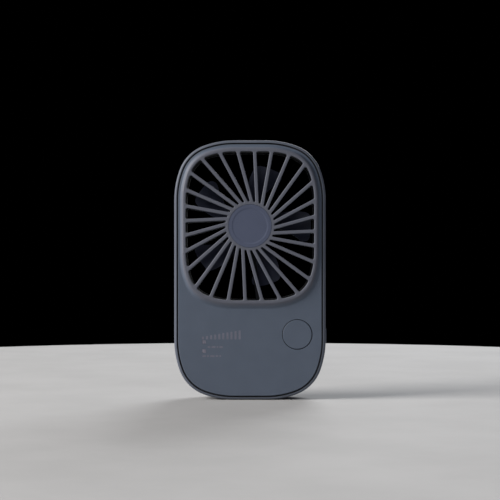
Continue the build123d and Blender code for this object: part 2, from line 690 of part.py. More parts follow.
def stator_outline():
    core = Circle(STATOR_R * 0.5)
    for n in range(TEETH):
        tooth = Pos(0, STATOR_R / 2) * Rectangle(TOOTH_W, STATOR_R)
        core += Rot(Z=n * 360 / TEETH) * tooth
    core += Circle(STATOR_R) - Circle(STATOR_R - SHOE_T)
    for n in range(TEETH):
        slot = Pos(0, STATOR_R) * Rectangle(SLOT_W, 2 * SHOE_T + 0.2)
        core -= Rot(Z=(n + 0.5) * 360 / TEETH) * slot
    core &= Circle(STATOR_R)
    return Pos(0, HUB_Z) * (core - Circle(POST_R))


def make_stator_core():
    return slab(stator_outline(), Y_STATOR_START, Y_STATOR_END)


def make_stator_coils():
    """One closed winding round each tooth."""
    inner_r, outer_r = STATOR_R * 0.5 + 0.25, STATOR_R - SHOE_T - 0.15
    length = outer_r - inner_r
    coil = Box(TOOTH_W + 2 * COIL_T * 0.75, STATOR_L + 2 * COIL_T, length)
    coil = fillet(coil.edges().filter_by(Axis.Z), COIL_T * 0.7)
    coil -= Box(TOOTH_W + 0.06, STATOR_L + 0.06, length)
    middle_y = (Y_STATOR_START + Y_STATOR_END) / 2
    placed = Pos(0, middle_y, (inner_r + outer_r) / 2) * coil
    # Neighbouring coils are trimmed to their own share of the circle
    wedge_half = tan(radians(180 / TEETH)) * outer_r - 0.12
    narrow = tan(radians(180 / TEETH)) * inner_r - 0.12
    near, far = (narrow, inner_r), (wedge_half, outer_r)
    mirrored = [(-x, z) for x, z in (far, near)]
    share = make_face(Polyline(near, far, *mirrored, close=True))
    placed &= extrude(Plane.XZ.offset(-middle_y - STATOR_L) * share, amount=2 * STATOR_L)
    return Compound(
        children=[Pos(0, 0, HUB_Z) * Rot(Y=n * 360 / TEETH) * placed for n in range(TEETH)]
    )


def make_motor_board():
    disc = Pos(0, HUB_Z) * (Circle(MOTOR_BOARD_R) - Circle(POST_R + 0.1))
    return slab(disc, Y_BRACKET_BACK, Y_MOTOR_BOARD_BACK)


def make_rotor_magnet():
    return tube(0, HUB_Z, YOKE_INNER_R, MAGNET_INNER_R, Y_MAGNET_FRONT, Y_MAGNET_BACK)


def make_rotor_yoke():
    y_front = Y_MAGNET_FRONT - YOKE_SKIRT
    yoke = rod(0, HUB_Z, YOKE_R, y_front, Y_YOKE_BACK)
    yoke -= rod(0, HUB_Z, YOKE_INNER_R, y_front - 1, Y_YOKE_END)
    return yoke - rod(0, HUB_Z, SHAFT_R, Y_YOKE_END - 1, Y_YOKE_BACK + 1)


# ---- Button, key and switches ----------------------------------------------------------------------
def make_power_button():
    button = rod(BUTTON_X, BUTTON_Z, BUTTON_R, Y_RIM, Y_COVER_BACK + PLAY)
    button = fillet(edges_at_depth(button, Y_RIM), BUTTON_ROUND)
    y_flange = Y_COVER_BACK + PLAY + BUTTON_FLANGE_T
    button += rod(BUTTON_X, BUTTON_Z, BUTTON_R + BUTTON_FLANGE, Y_COVER_BACK + PLAY, y_flange)
    return button


Y_BUTTON_BACK = Y_COVER_BACK + PLAY + BUTTON_FLANGE_T
Y_SWITCH_TOP = Y_BOARD_FRONT - SWITCH_H


def make_power_switch():
    body = Pos(BUTTON_X, BUTTON_Z) * RectangleRounded(SWITCH_W, SWITCH_W, 0.5)
    switch = slab(body, Y_SWITCH_TOP, Y_BOARD_FRONT)
    y_bottom = Y_SWITCH_TOP + PLUNGER_SINK + BUTTON_TRAVEL + 0.2
    return switch - rod(BUTTON_X, BUTTON_Z, PLUNGER_R + 0.1, Y_SWITCH_TOP - 1, y_bottom)


def make_power_plunger():
    return rod(BUTTON_X, BUTTON_Z, PLUNGER_R, Y_BUTTON_BACK, Y_SWITCH_TOP + PLUNGER_SINK)


def side_bar(outline, x_low, x_high):
    """Solid from an outline drawn in (Y, Z), between two X values."""
    return extrude(Plane.YZ.offset(x_low) * outline, amount=x_high - x_low)


KEY_SHOULDER = INNER_HALF_W - KEY_PLAY
KEY_IN = KEY_SHOULDER - KEY_FLANGE_T


def make_side_key():
    x_out = BODY_W / 2 + KEY_PROUD
    slot = Pos(KEY_Y, KEY_Z) * SlotOverall(KEY_L, KEY_W, rotation=90)
    key = side_bar(slot, KEY_SHOULDER, x_out)
    outer = [e for e in key.edges() if abs(e.bounding_box().min.X - x_out) < 1e-4]
    key = fillet(outer, 0.5)
    flange = SlotOverall(KEY_L + 2 * KEY_FLANGE, KEY_W + KEY_FLANGE, rotation=90)
    return key + side_bar(Pos(KEY_Y, KEY_Z) * flange, KEY_IN, KEY_SHOULDER)


SIDE_SWITCH_FACE = BOARD_RIGHT - 0.4


def make_side_switch():
    x_back = SIDE_SWITCH_FACE - SIDE_SWITCH_L
    body = block(
        x_back,
        SIDE_SWITCH_FACE,
        Y_BOARD_BACK,
        Y_BOARD_BACK + SIDE_SWITCH_H,
        KEY_Z - SIDE_SWITCH_W / 2,
        KEY_Z + SIDE_SWITCH_W / 2,
    )
    hole = Pos(KEY_Y, KEY_Z) * Circle(SIDE_PLUNGER_R + 0.1)
    depth = PLUNGER_SINK + KEY_TRAVEL + 0.3
    return body - side_bar(hole, SIDE_SWITCH_FACE - depth, SIDE_SWITCH_FACE + 1)


def make_side_plunger():
    pin = Pos(KEY_Y, KEY_Z) * Circle(SIDE_PLUNGER_R)
    return side_bar(pin, SIDE_SWITCH_FACE - PLUNGER_SINK, KEY_IN)


# ---- Circuit board and its parts -------------------------------------------------------------------
def make_main_board():
    wide = Pos((BOARD_RIGHT + BOARD_LEFT) / 2, (BOARD_TOP + BOARD_LOW) / 2) * RectangleRounded(
        BOARD_RIGHT - BOARD_LEFT, BOARD_TOP - BOARD_LOW, 1.5
    )
    tongue_top = BOARD_LOW + 3
    tongue = Pos(0, (tongue_top + BOARD_BOTTOM) / 2) * Rectangle(
        2 * TONGUE_HALF_W, tongue_top - BOARD_BOTTOM
    )
    board = slab(wide + tongue, Y_BOARD_FRONT, Y_BOARD_BACK)
    for x, z in BOARD_SCREWS:
        board -= rod(x, z, SMALL_SCREW_R + 0.1, Y_BOARD_FRONT - 1, Y_BOARD_BACK + 1)
    return board


def usb_profile(shrink):
    w, h = USB_W - 2 * shrink, USB_H - 2 * shrink
    return Pos(0, USB_Y) * RectangleRounded(w, h, h / 2 - 0.02)


def make_usb_shell():
    shell = extrude(Plane.XY.offset(USB_SINK) * usb_profile(0), amount=USB_L)
    bore = extrude(Plane.XY.offset(USB_SINK - 1) * usb_profile(USB_SHELL_T), amount=USB_L)
    return shell - bore


def make_usb_tongue():
    z_low, z_high = USB_SINK + 1.2, USB_SINK + USB_L - 1
    tongue_w, tongue_t = 6.7, 0.7
    return block(
        -tongue_w / 2, tongue_w / 2, USB_Y - tongue_t / 2, USB_Y + tongue_t / 2, z_low, z_high
    )


def on_board_back(x, z, width, height, depth):
    return block(
        x - width / 2, x + width / 2, Y_BOARD_BACK, Y_BOARD_BACK + depth, z - height / 2, z + height / 2
    )


def make_controller_chip():
    """Driver chip with its two rows of legs."""
    x, z = 6.0, BOARD_TOP - 11
    leg_half, leg_pitch, legs = 0.15, 0.8, 5
    chip = block(x - 2.5, x + 2.5, Y_BOARD_BACK + 0.15, Y_BOARD_BACK + 1.6, z - 2, z + 2)
    for side in (-1, 1):
        for n in range(legs):
            leg_z = z + (n - (legs - 1) / 2) * leg_pitch
            x_low, x_high = sorted((x + side * 2.3, x + side * 3.3))
            leg = block(
                x_low, x_high, Y_BOARD_BACK, Y_BOARD_BACK + 0.6, leg_z - leg_half, leg_z + leg_half
            )
            chip += leg
    return chip


def make_charge_coil():
    """Square power inductor."""
    coil = on_board_back(-7.0, BOARD_TOP - 13, 6.0, 6.0, 2.8)
    return chamfer(coil.edges().filter_by(Axis.Y), 0.8)


def make_capacitors():
    spots = [(-14, -8), (-14, -11), (12.5, -9), (12.5, -12), (0, -6), (0, -17)]
    return Compound(
        children=[on_board_back(x, BOARD_TOP + drop, 2.0, 1.25, 1.0) for x, drop in spots]
    )


def make_indicator_leds():
    """Two surface lights behind the windows."""
    return Compound(
        children=[
            block(
                WINDOW_X - 0.8,
                WINDOW_X + 0.8,
                Y_BOARD_FRONT - 0.6,
                Y_BOARD_FRONT,
                OPENING_BOTTOM - drop - 0.4,
                OPENING_BOTTOM - drop + 0.4,
            )
            for drop in WINDOW_DROPS
        ]
    )


def make_light_pipe():
    """Two square posts on one flange, pushed into the windows from behind."""
    zs = [OPENING_BOTTOM - drop for drop in WINDOW_DROPS]
    post_half = WINDOW_W / 2 - 0.05
    y_flange_back = Y_COVER_BACK + 0.8
    pipe = block(
        WINDOW_X - 1.8, WINDOW_X + 1.8, Y_COVER_BACK, y_flange_back, min(zs) - 1.8, max(zs) + 1.8
    )
    for z in zs:
        pipe += block(
            WINDOW_X - post_half,
            WINDOW_X + post_half,
            Y_RIM,
            Y_BOARD_FRONT - 0.8,
            z - post_half,
            z + post_half,
        )
    return pipe


SOCKET_Z = BOARD_TOP - SOCKET_H / 2 - 0.5


def make_battery_socket():
    return on_board_back(BATTERY_SOCKET_X, SOCKET_Z, SOCKET_W, SOCKET_H, SOCKET_D)


def rib_line_x(z):
    """X where the wire rib's centre line crosses a height."""
    return (HUB_Z - z) * tan(radians(180 - RIB_DEG))


MOTOR_SOCKET_X = rib_line_x(BOARD_TOP)


def make_motor_socket():
    x, z = MOTOR_SOCKET_X, SOCKET_Z
    return block(
        x - SOCKET_W / 2,
        x + SOCKET_W / 2,
        Y_BOARD_FRONT - SOCKET_D,
        Y_BOARD_FRONT,
        z - SOCKET_H / 2,
        z + SOCKET_H / 2,
    )


# ---- Battery ---------------------------------------------------------------------------------------
def make_battery_cell():
    cell = block(
        -BATTERY_HALF_W, BATTERY_HALF_W, Y_BATTERY_FRONT, Y_BATTERY_BACK, BATTERY_FLOOR, BATTERY_TOP
    )
    return fillet(cell.edges().filter_by(Axis.Z), BATTERY_ROUND)


def make_battery_pad():
    margin = 3.0
    return block(
        -BATTERY_HALF_W + margin,
        BATTERY_HALF_W - margin,
        Y_BATTERY_BACK,
        Y_FLOOR,
        BATTERY_FLOOR + margin,
        BATTERY_TOP - margin,
    )


def make_guard_board():
    """Protection circuit on the cell's top edge."""
    return block(
        -GUARD_BOARD_W / 2,
        GUARD_BOARD_W / 2,
        Y_GUARD_FRONT,
        Y_GUARD_BACK,
        GUARD_Z,
        GUARD_Z + GUARD_BOARD_T,
    )


def make_battery_lead(side):
    """From the protection board over the cell's edge and down into its socket."""
    x = BATTERY_SOCKET_X + side * BATTERY_WIRE_PITCH / 2
    z_wire = GUARD_Z + GUARD_BOARD_T + BATTERY_WIRE_R
    y_socket = Y_BOARD_BACK + SOCKET_D / 2
    z_socket = SOCKET_Z + SOCKET_H / 2
    y_start = (Y_GUARD_FRONT + Y_GUARD_BACK) / 2
    points = [(x, y_start, z_wire), (x, y_socket, z_wire), (x, y_socket, z_socket)]
    return wire_run(points, BATTERY_WIRE_R)


def make_motor_lead(side):
    """From the motor board along the rib and down into the socket."""
    across = side * (MOTOR_WIRE_R + MOTOR_WIRE_GAP / 2)
    y_rib = Y_RIB_BACK - RIB_COVER_T - MOTOR_WIRE_R - WIRE_PLAY
    y_board = Y_BRACKET_BACK + MOTOR_BOARD_T / 2
    y_socket = Y_BOARD_FRONT - SOCKET_D / 2
    start = clockwise(RIB_DEG, MOTOR_BOARD_R, across)
    bend = clockwise(RIB_DEG, MOTOR_BOARD_R + WIRE_BEND, across)
    turn_z = DUCT_BOTTOM - 2.2
    turn_r = (HUB_Z - turn_z) / cos(radians(180 - RIB_DEG))
    leave = clockwise(RIB_DEG, turn_r, across)
    x_socket = MOTOR_SOCKET_X - across
    z_socket = SOCKET_Z + SOCKET_H / 2
    points = [
        (start[0], y_board, start[1]),
        (bend[0], y_rib, bend[1]),
        (leave[0], y_rib, leave[1]),
        (x_socket, y_socket, z_socket),
    ]
    return wire_run(points, MOTOR_WIRE_R)


# ---- Screws ----------------------------------------------------------------------------------------
def screw(x, z, y_seat, toward, length, shank_r, head_r, head_t):
    """Pan-head screw along Y; toward is -1 if its tip points to the front."""
    y_tip, y_top = y_seat + toward * length, y_seat - toward * head_t
    shank = rod(x, z, shank_r, min(y_seat, y_tip), max(y_seat, y_tip))
    head = rod(x, z, head_r, min(y_seat, y_top), max(y_seat, y_top))
    head = fillet(edges_at_depth(head, y_top), head_t * 0.4)
    slot_ends = sorted((y_top - toward * 0.1, y_top + toward * head_t * 0.5))
    for turn in (0, 90):
        slot = Pos(x, z) * Rot(Z=turn) * Rectangle(head_r * 1.1, head_r * 0.24)
        head -= slab(slot, *slot_ends)
    return shank + head


def make_case_screws():
    return Compound(
        children=[
            screw(x, z, Y_SCREW_SEAT, -1, SCREW_L, SCREW_R - 0.1, SCREW_HEAD_R, SCREW_HEAD_T)
            for x, z in CASE_SCREWS
        ]
    )


def make_board_screws():
    return Compound(
        children=[
            screw(x, z, Y_BOARD_BACK, -1, 4.0, SMALL_SCREW_R - 0.05, SMALL_HEAD_R, SMALL_HEAD_T)
            for x, z in BOARD_SCREWS
        ]
    )


def make_motor_screws():
    y_seat = Y_GRILLE + CAP_SINK + CAP_T + SMALL_HEAD_T + 0.1
    length = Y_BRACKET_BACK - y_seat
    return Compound(
        children=[
            screw(x, z, y_seat, 1, length, SMALL_SCREW_R, SMALL_HEAD_R, SMALL_HEAD_T)
            for x, z in motor_screw_places()
        ]
    )


# ---- Every separate piece, by node name --------------------------------------------------------------
PIECES = {
    "rear_housing": make_rear_housing,
    "front_cover": make_front_cover,
    "rear_grille": make_rear_grille,
    "hub_cap": make_hub_cap,
    "wire_cover": make_wire_cover,
    "impeller": make_impeller,
    "motor_bracket": make_motor_bracket,
    "bearing_bush": make_bearing_bush,
    "motor_shaft": make_motor_shaft,
    "shaft_clip": make_shaft_clip,
    "thrust_washer": make_thrust_washer,
    "stator_core": make_stator_core,
    "stator_coils": make_stator_coils,
    "motor_board": make_motor_board,
    "rotor_magnet": make_rotor_magnet,
    "rotor_yoke": make_rotor_yoke,
    "power_button": make_power_button,
    "power_switch": make_power_switch,
    "power_plunger": make_power_plunger,
    "side_key": make_side_key,
    "side_switch": make_side_switch,
    "side_plunger": make_side_plunger,
    "main_board": make_main_board,
    "usb_shell": make_usb_shell,
    "usb_tongue": make_usb_tongue,
    "controller_chip": make_controller_chip,
    "charge_coil": make_charge_coil,
    "capacitors": make_capacitors,
    "indicator_leds": make_indicator_leds,
    "light_pipe": make_light_pipe,
    "battery_socket": make_battery_socket,
    "motor_socket": make_motor_socket,
    "battery_cell": make_battery_cell,
    "battery_pad": make_battery_pad,
    "guard_board": make_guard_board,
    "battery_lead_red": lambda: make_battery_lead(1),
    "battery_lead_black": lambda: make_battery_lead(-1),
    "motor_lead_red": lambda: make_motor_lead(1),
    "motor_lead_black": lambda: make_motor_lead(-1),
    "case_screws": make_case_screws,
    "board_screws": make_board_screws,
    "motor_screws": make_motor_screws,
}

os.makedirs("parts", exist_ok=True)
for node, make in PIECES.items():
    export_step(make(), f"parts/{node}.step")
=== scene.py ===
# %% [markdown]
# # A pocket fan, from its engineering parts to a finished picture
#
# The fan is a slim casing with a spoked grille, a five-blade impeller, a round push button and a
# battery inside. Its parts come from a packed engineering model, already in place and in metres.
# This lesson gives every part a finish that suits what it is made of, adds the printed marks and
# the small fittings that engineering models leave out, and sets up the light and the camera.

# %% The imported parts
import json
import math

import bmesh
import bpy
from mathutils import Matrix, Vector, noise


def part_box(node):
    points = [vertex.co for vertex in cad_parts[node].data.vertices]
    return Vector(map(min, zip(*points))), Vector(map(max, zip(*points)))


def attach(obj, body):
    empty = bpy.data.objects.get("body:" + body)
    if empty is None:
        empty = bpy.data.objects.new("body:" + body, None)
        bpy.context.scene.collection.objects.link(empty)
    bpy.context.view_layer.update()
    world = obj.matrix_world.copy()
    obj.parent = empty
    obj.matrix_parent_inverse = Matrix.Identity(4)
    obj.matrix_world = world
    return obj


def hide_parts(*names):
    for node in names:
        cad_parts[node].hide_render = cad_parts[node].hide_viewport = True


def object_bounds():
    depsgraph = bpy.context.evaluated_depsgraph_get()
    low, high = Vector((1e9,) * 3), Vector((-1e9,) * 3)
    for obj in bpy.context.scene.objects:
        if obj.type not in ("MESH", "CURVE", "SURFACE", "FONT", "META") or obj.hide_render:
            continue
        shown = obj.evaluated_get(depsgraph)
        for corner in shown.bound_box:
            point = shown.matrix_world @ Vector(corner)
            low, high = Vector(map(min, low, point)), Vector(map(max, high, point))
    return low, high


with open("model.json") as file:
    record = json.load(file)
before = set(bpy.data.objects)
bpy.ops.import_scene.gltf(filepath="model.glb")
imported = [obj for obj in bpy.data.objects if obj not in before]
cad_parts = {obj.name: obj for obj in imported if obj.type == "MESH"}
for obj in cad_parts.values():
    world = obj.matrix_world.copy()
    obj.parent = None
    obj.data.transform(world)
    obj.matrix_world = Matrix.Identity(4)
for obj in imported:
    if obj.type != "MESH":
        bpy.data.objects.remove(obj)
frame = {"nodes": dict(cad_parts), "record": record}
CAD_LOW, CAD_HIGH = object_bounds()
MM = 0.001
PANEL_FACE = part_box("power_button")[0][1]  # the button is flush with the front panel
GRILLE_RISE = PANEL_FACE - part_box("front_cover")[0][1]

print("size in mm:", [round((high - low) / MM, 1) for low, high in zip(CAD_LOW, CAD_HIGH)])
print("the grille stands proud by", round(GRILLE_RISE / MM, 2), "mm")

# %% [markdown]
# ## The camera
#
# A long lens from three quarters of a metre keeps the sides of the casing parallel, as a product
# shot does. A short lens close up would make the grille bulge. The camera stays level, a little
# above the middle of the fan, so that upright edges stay upright.

# %% The camera
LENS_MM, SENSOR_MM = 100.0, 36.0
PICTURE_WIDTH = 270.3 * MM  # what the picture spans at the casing's rim
CAMERA_HEIGHT = 81.05 * MM

rim_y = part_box("rear_housing")[0][1]
distance = PICTURE_WIDTH * LENS_MM / SENSOR_MM
camera_data = bpy.data.cameras.new("camera")
camera_data.lens = LENS_MM
camera_data.sensor_width = SENSOR_MM
camera_data.clip_start = 0.01
camera = bpy.data.objects.new("camera", camera_data)
camera.location = (0, rim_y - distance, CAMERA_HEIGHT)
camera.rotation_euler = (math.radians(90), 0, 0)
bpy.context.scene.collection.objects.link(camera)
bpy.context.scene.camera = camera
print("camera stands", round(distance, 3), "m in front of the rim")

# %% [markdown]
# ## The light
#
# Matte dark plastic shows its shape only where the light changes across it. One large soft panel at
# the upper left, almost level with the front, models the raised rim of the grille: its left slope
# turns bright and its right slope turns grey. A faint panel near the camera softens the shadows, and
# one behind draws the back for the other views. Area lights are chosen because their size sets how
# soft they are.


# %% The light
def area_light(name, place, aim, size, watts, color):
    """Adds a square soft panel, in metres and watts, that faces a point."""
    data = bpy.data.lights.new(name, "AREA")
    data.size = size
    data.energy = watts
    data.color = color
    light = bpy.data.objects.new(name, data)
    light.location = place
    light.rotation_euler = (Vector(aim) - Vector(place)).to_track_quat("-Z", "Y").to_euler()
    bpy.context.scene.collection.objects.link(light)


middle = (CAD_LOW + CAD_HIGH) / 2
area_light("key_panel", (-1.50, -0.50, 0.86), middle, 0.90, 52.5, (1.0, 0.965, 0.94))
area_light("front_panel", (-0.30, -1.60, 0.60), middle, 0.60, 3.0, (0.94, 0.96, 1.0))
area_light("back_panel", (0.40, 1.35, 0.90), middle, 0.80, 17.0, (0.97, 0.98, 1.0))

# %% [markdown]
# ## The room
#
# The room itself is dark, so the gaps of the grille read as black. A faint even glow still reaches
# every side of the fan. The world shader gives the camera black and gives everything else the glow.

# %% The room
GLOW_COLOR, GLOW_STRENGTH = (0.80, 0.85, 1.0), 0.12
world = bpy.data.worlds.new("dark_room")
bpy.context.scene.world = world
world.use_nodes = True
room = world.node_tree
room.nodes.clear()
room_out = room.nodes.new("ShaderNodeOutputWorld")
room_mix = room.nodes.new("ShaderNodeMixShader")
room_path = room.nodes.new("ShaderNodeLightPath")
room_glow = room.nodes.new("ShaderNodeBackground")
room_glow.inputs["Color"].default_value = (*GLOW_COLOR, 1)
room_glow.inputs["Strength"].default_value = GLOW_STRENGTH
room_black = room.nodes.new("ShaderNodeBackground")
room_black.inputs["Color"].default_value = (0, 0, 0, 1)
room.links.new(room_path.outputs["Is Camera Ray"], room_mix.inputs["Fac"])
room.links.new(room_glow.outputs["Background"], room_mix.inputs[1])
room.links.new(room_black.outputs["Background"], room_mix.inputs[2])
room.links.new(room_mix.outputs["Shader"], room_out.inputs["Surface"])
bpy.context.scene.view_settings.view_transform = "Standard"
print("world:", world.name, "glow:", GLOW_STRENGTH)

# %% [markdown]
# ## Shader building blocks
#
# Effects that several finishes share are node groups: built once, with named inputs and outputs,
# and placed in each material with that material's own numbers. The groups give out only colours,
# masks and heights. The shader itself stays in each material, where a learner expects to find it.


# %% A helper that starts a node group
def new_group(name, inputs, outputs):
    """Makes a shader node group; inputs are (name, kind, default) and outputs (name, kind)."""
    group = bpy.data.node_groups.new(name, "ShaderNodeTree")
    for label, kind, default in inputs:
        socket = group.interface.new_socket(label, in_out="INPUT", socket_type=kind)
        socket.default_value = default
    for label, kind in outputs:
        group.interface.new_socket(label, in_out="OUTPUT", socket_type=kind)
    return group, group.nodes.new("NodeGroupInput"), group.nodes.new("NodeGroupOutput")


FLOAT = "NodeSocketFloat"


def math_node(tree, operation, a, b=None, clamp=False):
    """Adds a Math node; each operand is a socket or a number."""
    node = tree.nodes.new("ShaderNodeMath")
    node.operation = operation
    node.use_clamp = clamp
    for socket, value in zip(node.inputs, (a, b)):
        if value is None:
            continue
        if isinstance(value, bpy.types.NodeSocket):
            tree.links.new(value, socket)
        else:
            socket.default_value = value
    return node.outputs["Value"]


def noise_node(tree, vector, scale, detail=2.0, roughness=0.5):
    """Adds a Noise texture read at a vector socket; scale is a number or a socket."""
    node = tree.nodes.new("ShaderNodeTexNoise")
    node.inputs["Detail"].default_value = detail
    node.inputs["Roughness"].default_value = roughness
    if isinstance(scale, bpy.types.NodeSocket):
        tree.links.new(scale, node.inputs["Scale"])
    else:
        node.inputs["Scale"].default_value = scale
    tree.links.new(vector, node.inputs["Vector"])
    return node.outputs["Fac"]


def ramp_node(tree, value, low, high, start=0.0, end=1.0):
    """Adds a Map Range node that smoothly carries low..high to start..end."""
    node = tree.nodes.new("ShaderNodeMapRange")
    node.interpolation_type = "SMOOTHSTEP"
    tree.links.new(value, node.inputs["Value"])
    for label, number in (("From Min", low), ("From Max", high), ("To Min", start), ("To Max", end)):
        node.inputs[label].default_value = number
    return node.outputs["Result"]


print("every group's inputs are of kind", FLOAT)


# %% [markdown]
# ### Moulded grain
#
# Matte plastic gets its look from the mould, whose steel is etched with a fine texture. Two sizes
# of noise stand for it: a fine grain for the bump and a slow cloudiness for tone and gloss, because
# plastic never cools evenly. Object coordinates are used, so the grain sits still on a moving part.

# %% Moulded grain
COARSE_SHARE = 0.31  # how many coarse grains there are to one fine grain
grain_group, grain_in, grain_out = new_group(
    "moulded_grain",
    [("Grain Size mm", FLOAT, 0.25), ("Cloud Size mm", FLOAT, 9.0)],
    [("Height", FLOAT), ("Clouds", FLOAT), ("Speckle", FLOAT)],
)
grain_place = grain_group.nodes.new("ShaderNodeTexCoord").outputs["Object"]
grain_scale = math_node(grain_group, "DIVIDE", 1 / MM, grain_in.outputs["Grain Size mm"])
cloud_scale = math_node(grain_group, "DIVIDE", 1 / MM, grain_in.outputs["Cloud Size mm"])
grain_fine = noise_node(grain_group, grain_place, grain_scale, detail=3.0, roughness=0.6)
grain_coarse = noise_node(
    grain_group, grain_place, math_node(grain_group, "MULTIPLY", grain_scale, COARSE_SHARE), detail=1.0
)
grain_height = math_node(
    grain_group, "ADD", grain_fine, math_node(grain_group, "MULTIPLY", grain_coarse, 0.8)
)
grain_group.links.new(grain_height, grain_out.inputs["Height"])
grain_clouds = noise_node(grain_group, grain_place, cloud_scale, detail=4.0, roughness=0.55)
grain_group.links.new(ramp_node(grain_group, grain_clouds, 0.3, 0.7), grain_out.inputs["Clouds"])
grain_group.links.new(ramp_node(grain_group, grain_fine, 0.62, 0.78), grain_out.inputs["Speckle"])
print("group:", grain_group.name)

# %% [markdown]
# ### Edge polish
#
# Hands and pockets polish the outer edges of a plastic part first. The Bevel node gives the normal
# that a rounded edge would have, so where it disagrees with the true normal there is an edge. The
# difference is broken up with noise, because real wear is patchy. Painting wear by hand would also
# work, but it would not follow the parts when their sizes change.

# %% Edge polish
EDGE_RADIUS = 0.45 * MM
EDGE_NONE, EDGE_FULL = 0.995, 0.90  # how well the two normals agree on a flat and at an edge
EDGE_PATCHES = 260.0  # patches of wear to a metre
polish_group, polish_in, polish_out = new_group(
    "edge_polish", [("Patchiness", FLOAT, 0.6)], [("Mask", FLOAT)]
)
edge_bevel = polish_group.nodes.new("ShaderNodeBevel")
edge_bevel.samples = 4
edge_bevel.inputs["Radius"].default_value = EDGE_RADIUS
edge_normal = polish_group.nodes.new("ShaderNodeNewGeometry")
edge_dot = polish_group.nodes.new("ShaderNodeVectorMath")
edge_dot.operation = "DOT_PRODUCT"
polish_group.links.new(edge_bevel.outputs["Normal"], edge_dot.inputs[0])
polish_group.links.new(edge_normal.outputs["Normal"], edge_dot.inputs[1])
edge_mask = ramp_node(polish_group, edge_dot.outputs["Value"], EDGE_NONE, EDGE_FULL)
edge_place = polish_group.nodes.new("ShaderNodeTexCoord").outputs["Object"]
edge_noise = noise_node(polish_group, edge_place, EDGE_PATCHES, 3.0)
edge_patches = ramp_node(polish_group, edge_noise, 0.35, 0.65)
edge_kept = math_node(
    polish_group,
    "SUBTRACT",
    1.0,
    math_node(
        polish_group,
        "MULTIPLY",
        polish_in.outputs["Patchiness"],
        math_node(polish_group, "SUBTRACT", 1.0, edge_patches),
    ),
)
polish_group.links.new(
    math_node(polish_group, "MULTIPLY", edge_mask, edge_kept), polish_out.inputs["Mask"]
)
print("group:", polish_group.name)

# %% [markdown]
# ### Painted highlight on the crests
#
# The grille stands proud of the panel, and its crests get a painted highlight: they turn a little
# lighter and greyer than the panel, as where the light catches them. Depth alone decides it: the mask
# grows from the panel's face, at the input depth, to the tops of the spokes, with noise to keep its
# border uneven.

# %% Painted highlight on the crests
CREST_PATCHES = 400.0  # patches of painted highlight to a metre
CREST_NONE, CREST_FULL = 0.45, 1.15  # share of the grille's rise where the painted highlight starts and is full
crest_group, crest_in, crest_out = new_group(
    "painted_crest_highlight",
    [("Depth m", FLOAT, PANEL_FACE), ("Height m", FLOAT, GRILLE_RISE)],
    [("Mask", FLOAT)],
)
crest_place = crest_group.nodes.new("ShaderNodeTexCoord").outputs["Object"]
crest_split = crest_group.nodes.new("ShaderNodeSeparateXYZ")
crest_group.links.new(crest_place, crest_split.inputs["Vector"])
crest_rise = math_node(
    crest_group,
    "DIVIDE",
    math_node(crest_group, "SUBTRACT", crest_in.outputs["Depth m"], crest_split.outputs["Y"]),
    crest_in.outputs["Height m"],
)
crest_noise = noise_node(crest_group, crest_place, CREST_PATCHES, 3.0)
crest_uneven = math_node(
    crest_group, "ADD", crest_rise, math_node(crest_group, "MULTIPLY", crest_noise, 0.5)
)
crest_mask = ramp_node(crest_group, crest_uneven, CREST_NONE, CREST_FULL)
crest_group.links.new(crest_mask, crest_out.inputs["Mask"])
print("group:", crest_group.name)

# %% [markdown]
# ### Shaded seams
#
# Painted shade darkens the colour in the groove round the cover, round the button and at the screws,
# where less light reaches. The Ambient Occlusion node tells how open the space near a point is, so it
# finds every seam by itself. Painting by hand would need new work each time a gap changes.

# %% Shaded seams
SEAM_OPEN, SEAM_CLOSED = 0.66, 0.30  # how open an unshaded and a fully shaded place are
seam_group, seam_in, seam_out = new_group("shaded_seams", [("Reach mm", FLOAT, 1.2)], [("Mask", FLOAT)])
seam_space = seam_group.nodes.new("ShaderNodeAmbientOcclusion")
seam_space.samples = 6
seam_group.links.new(
    math_node(seam_group, "MULTIPLY", seam_in.outputs["Reach mm"], MM), seam_space.inputs["Distance"]
)
seam_mask = ramp_node(seam_group, seam_space.outputs["AO"], SEAM_OPEN, SEAM_CLOSED)
seam_group.links.new(seam_mask, seam_out.inputs["Mask"])
print("group:", seam_group.name)

# %% [markdown]
# ### Sooty depths
#
# Painted shade darkens every wall of the duct, where little light gets in. Such a wall faces the axis
# of the impeller, so each point's normal is compared with its place, seen from a point on the axis in
# front of the panel. The spokes pass that axis nearly edge on, and so they stay unshaded. The cover
# also gets painted shade on all sides a little way behind its face, in the groove round it: "All Round"
# switches that on.

# %% Where the duct's walls are
SHADE_EYE_OUT = 10 * MM  # from the panel's face to the point that the duct is judged from
WALL_NONE, WALL_FULL = -24 * MM, -31 * MM  # distance from that point, measured along the normal
DUCT_SHADE_SPAN = (-1.0 * MM, 0.0)  # depth behind the panel's face where the duct's painted shade starts and is full
BACK_SHADE_SPAN = (0.02 * MM, 0.18 * MM)  # the same for the cover's own sides

hub_low, hub_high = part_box("hub_cap")
duct_eye = ((hub_low[0] + hub_high[0]) / 2, PANEL_FACE - SHADE_EYE_OUT, (hub_low[2] + hub_high[2]) / 2)

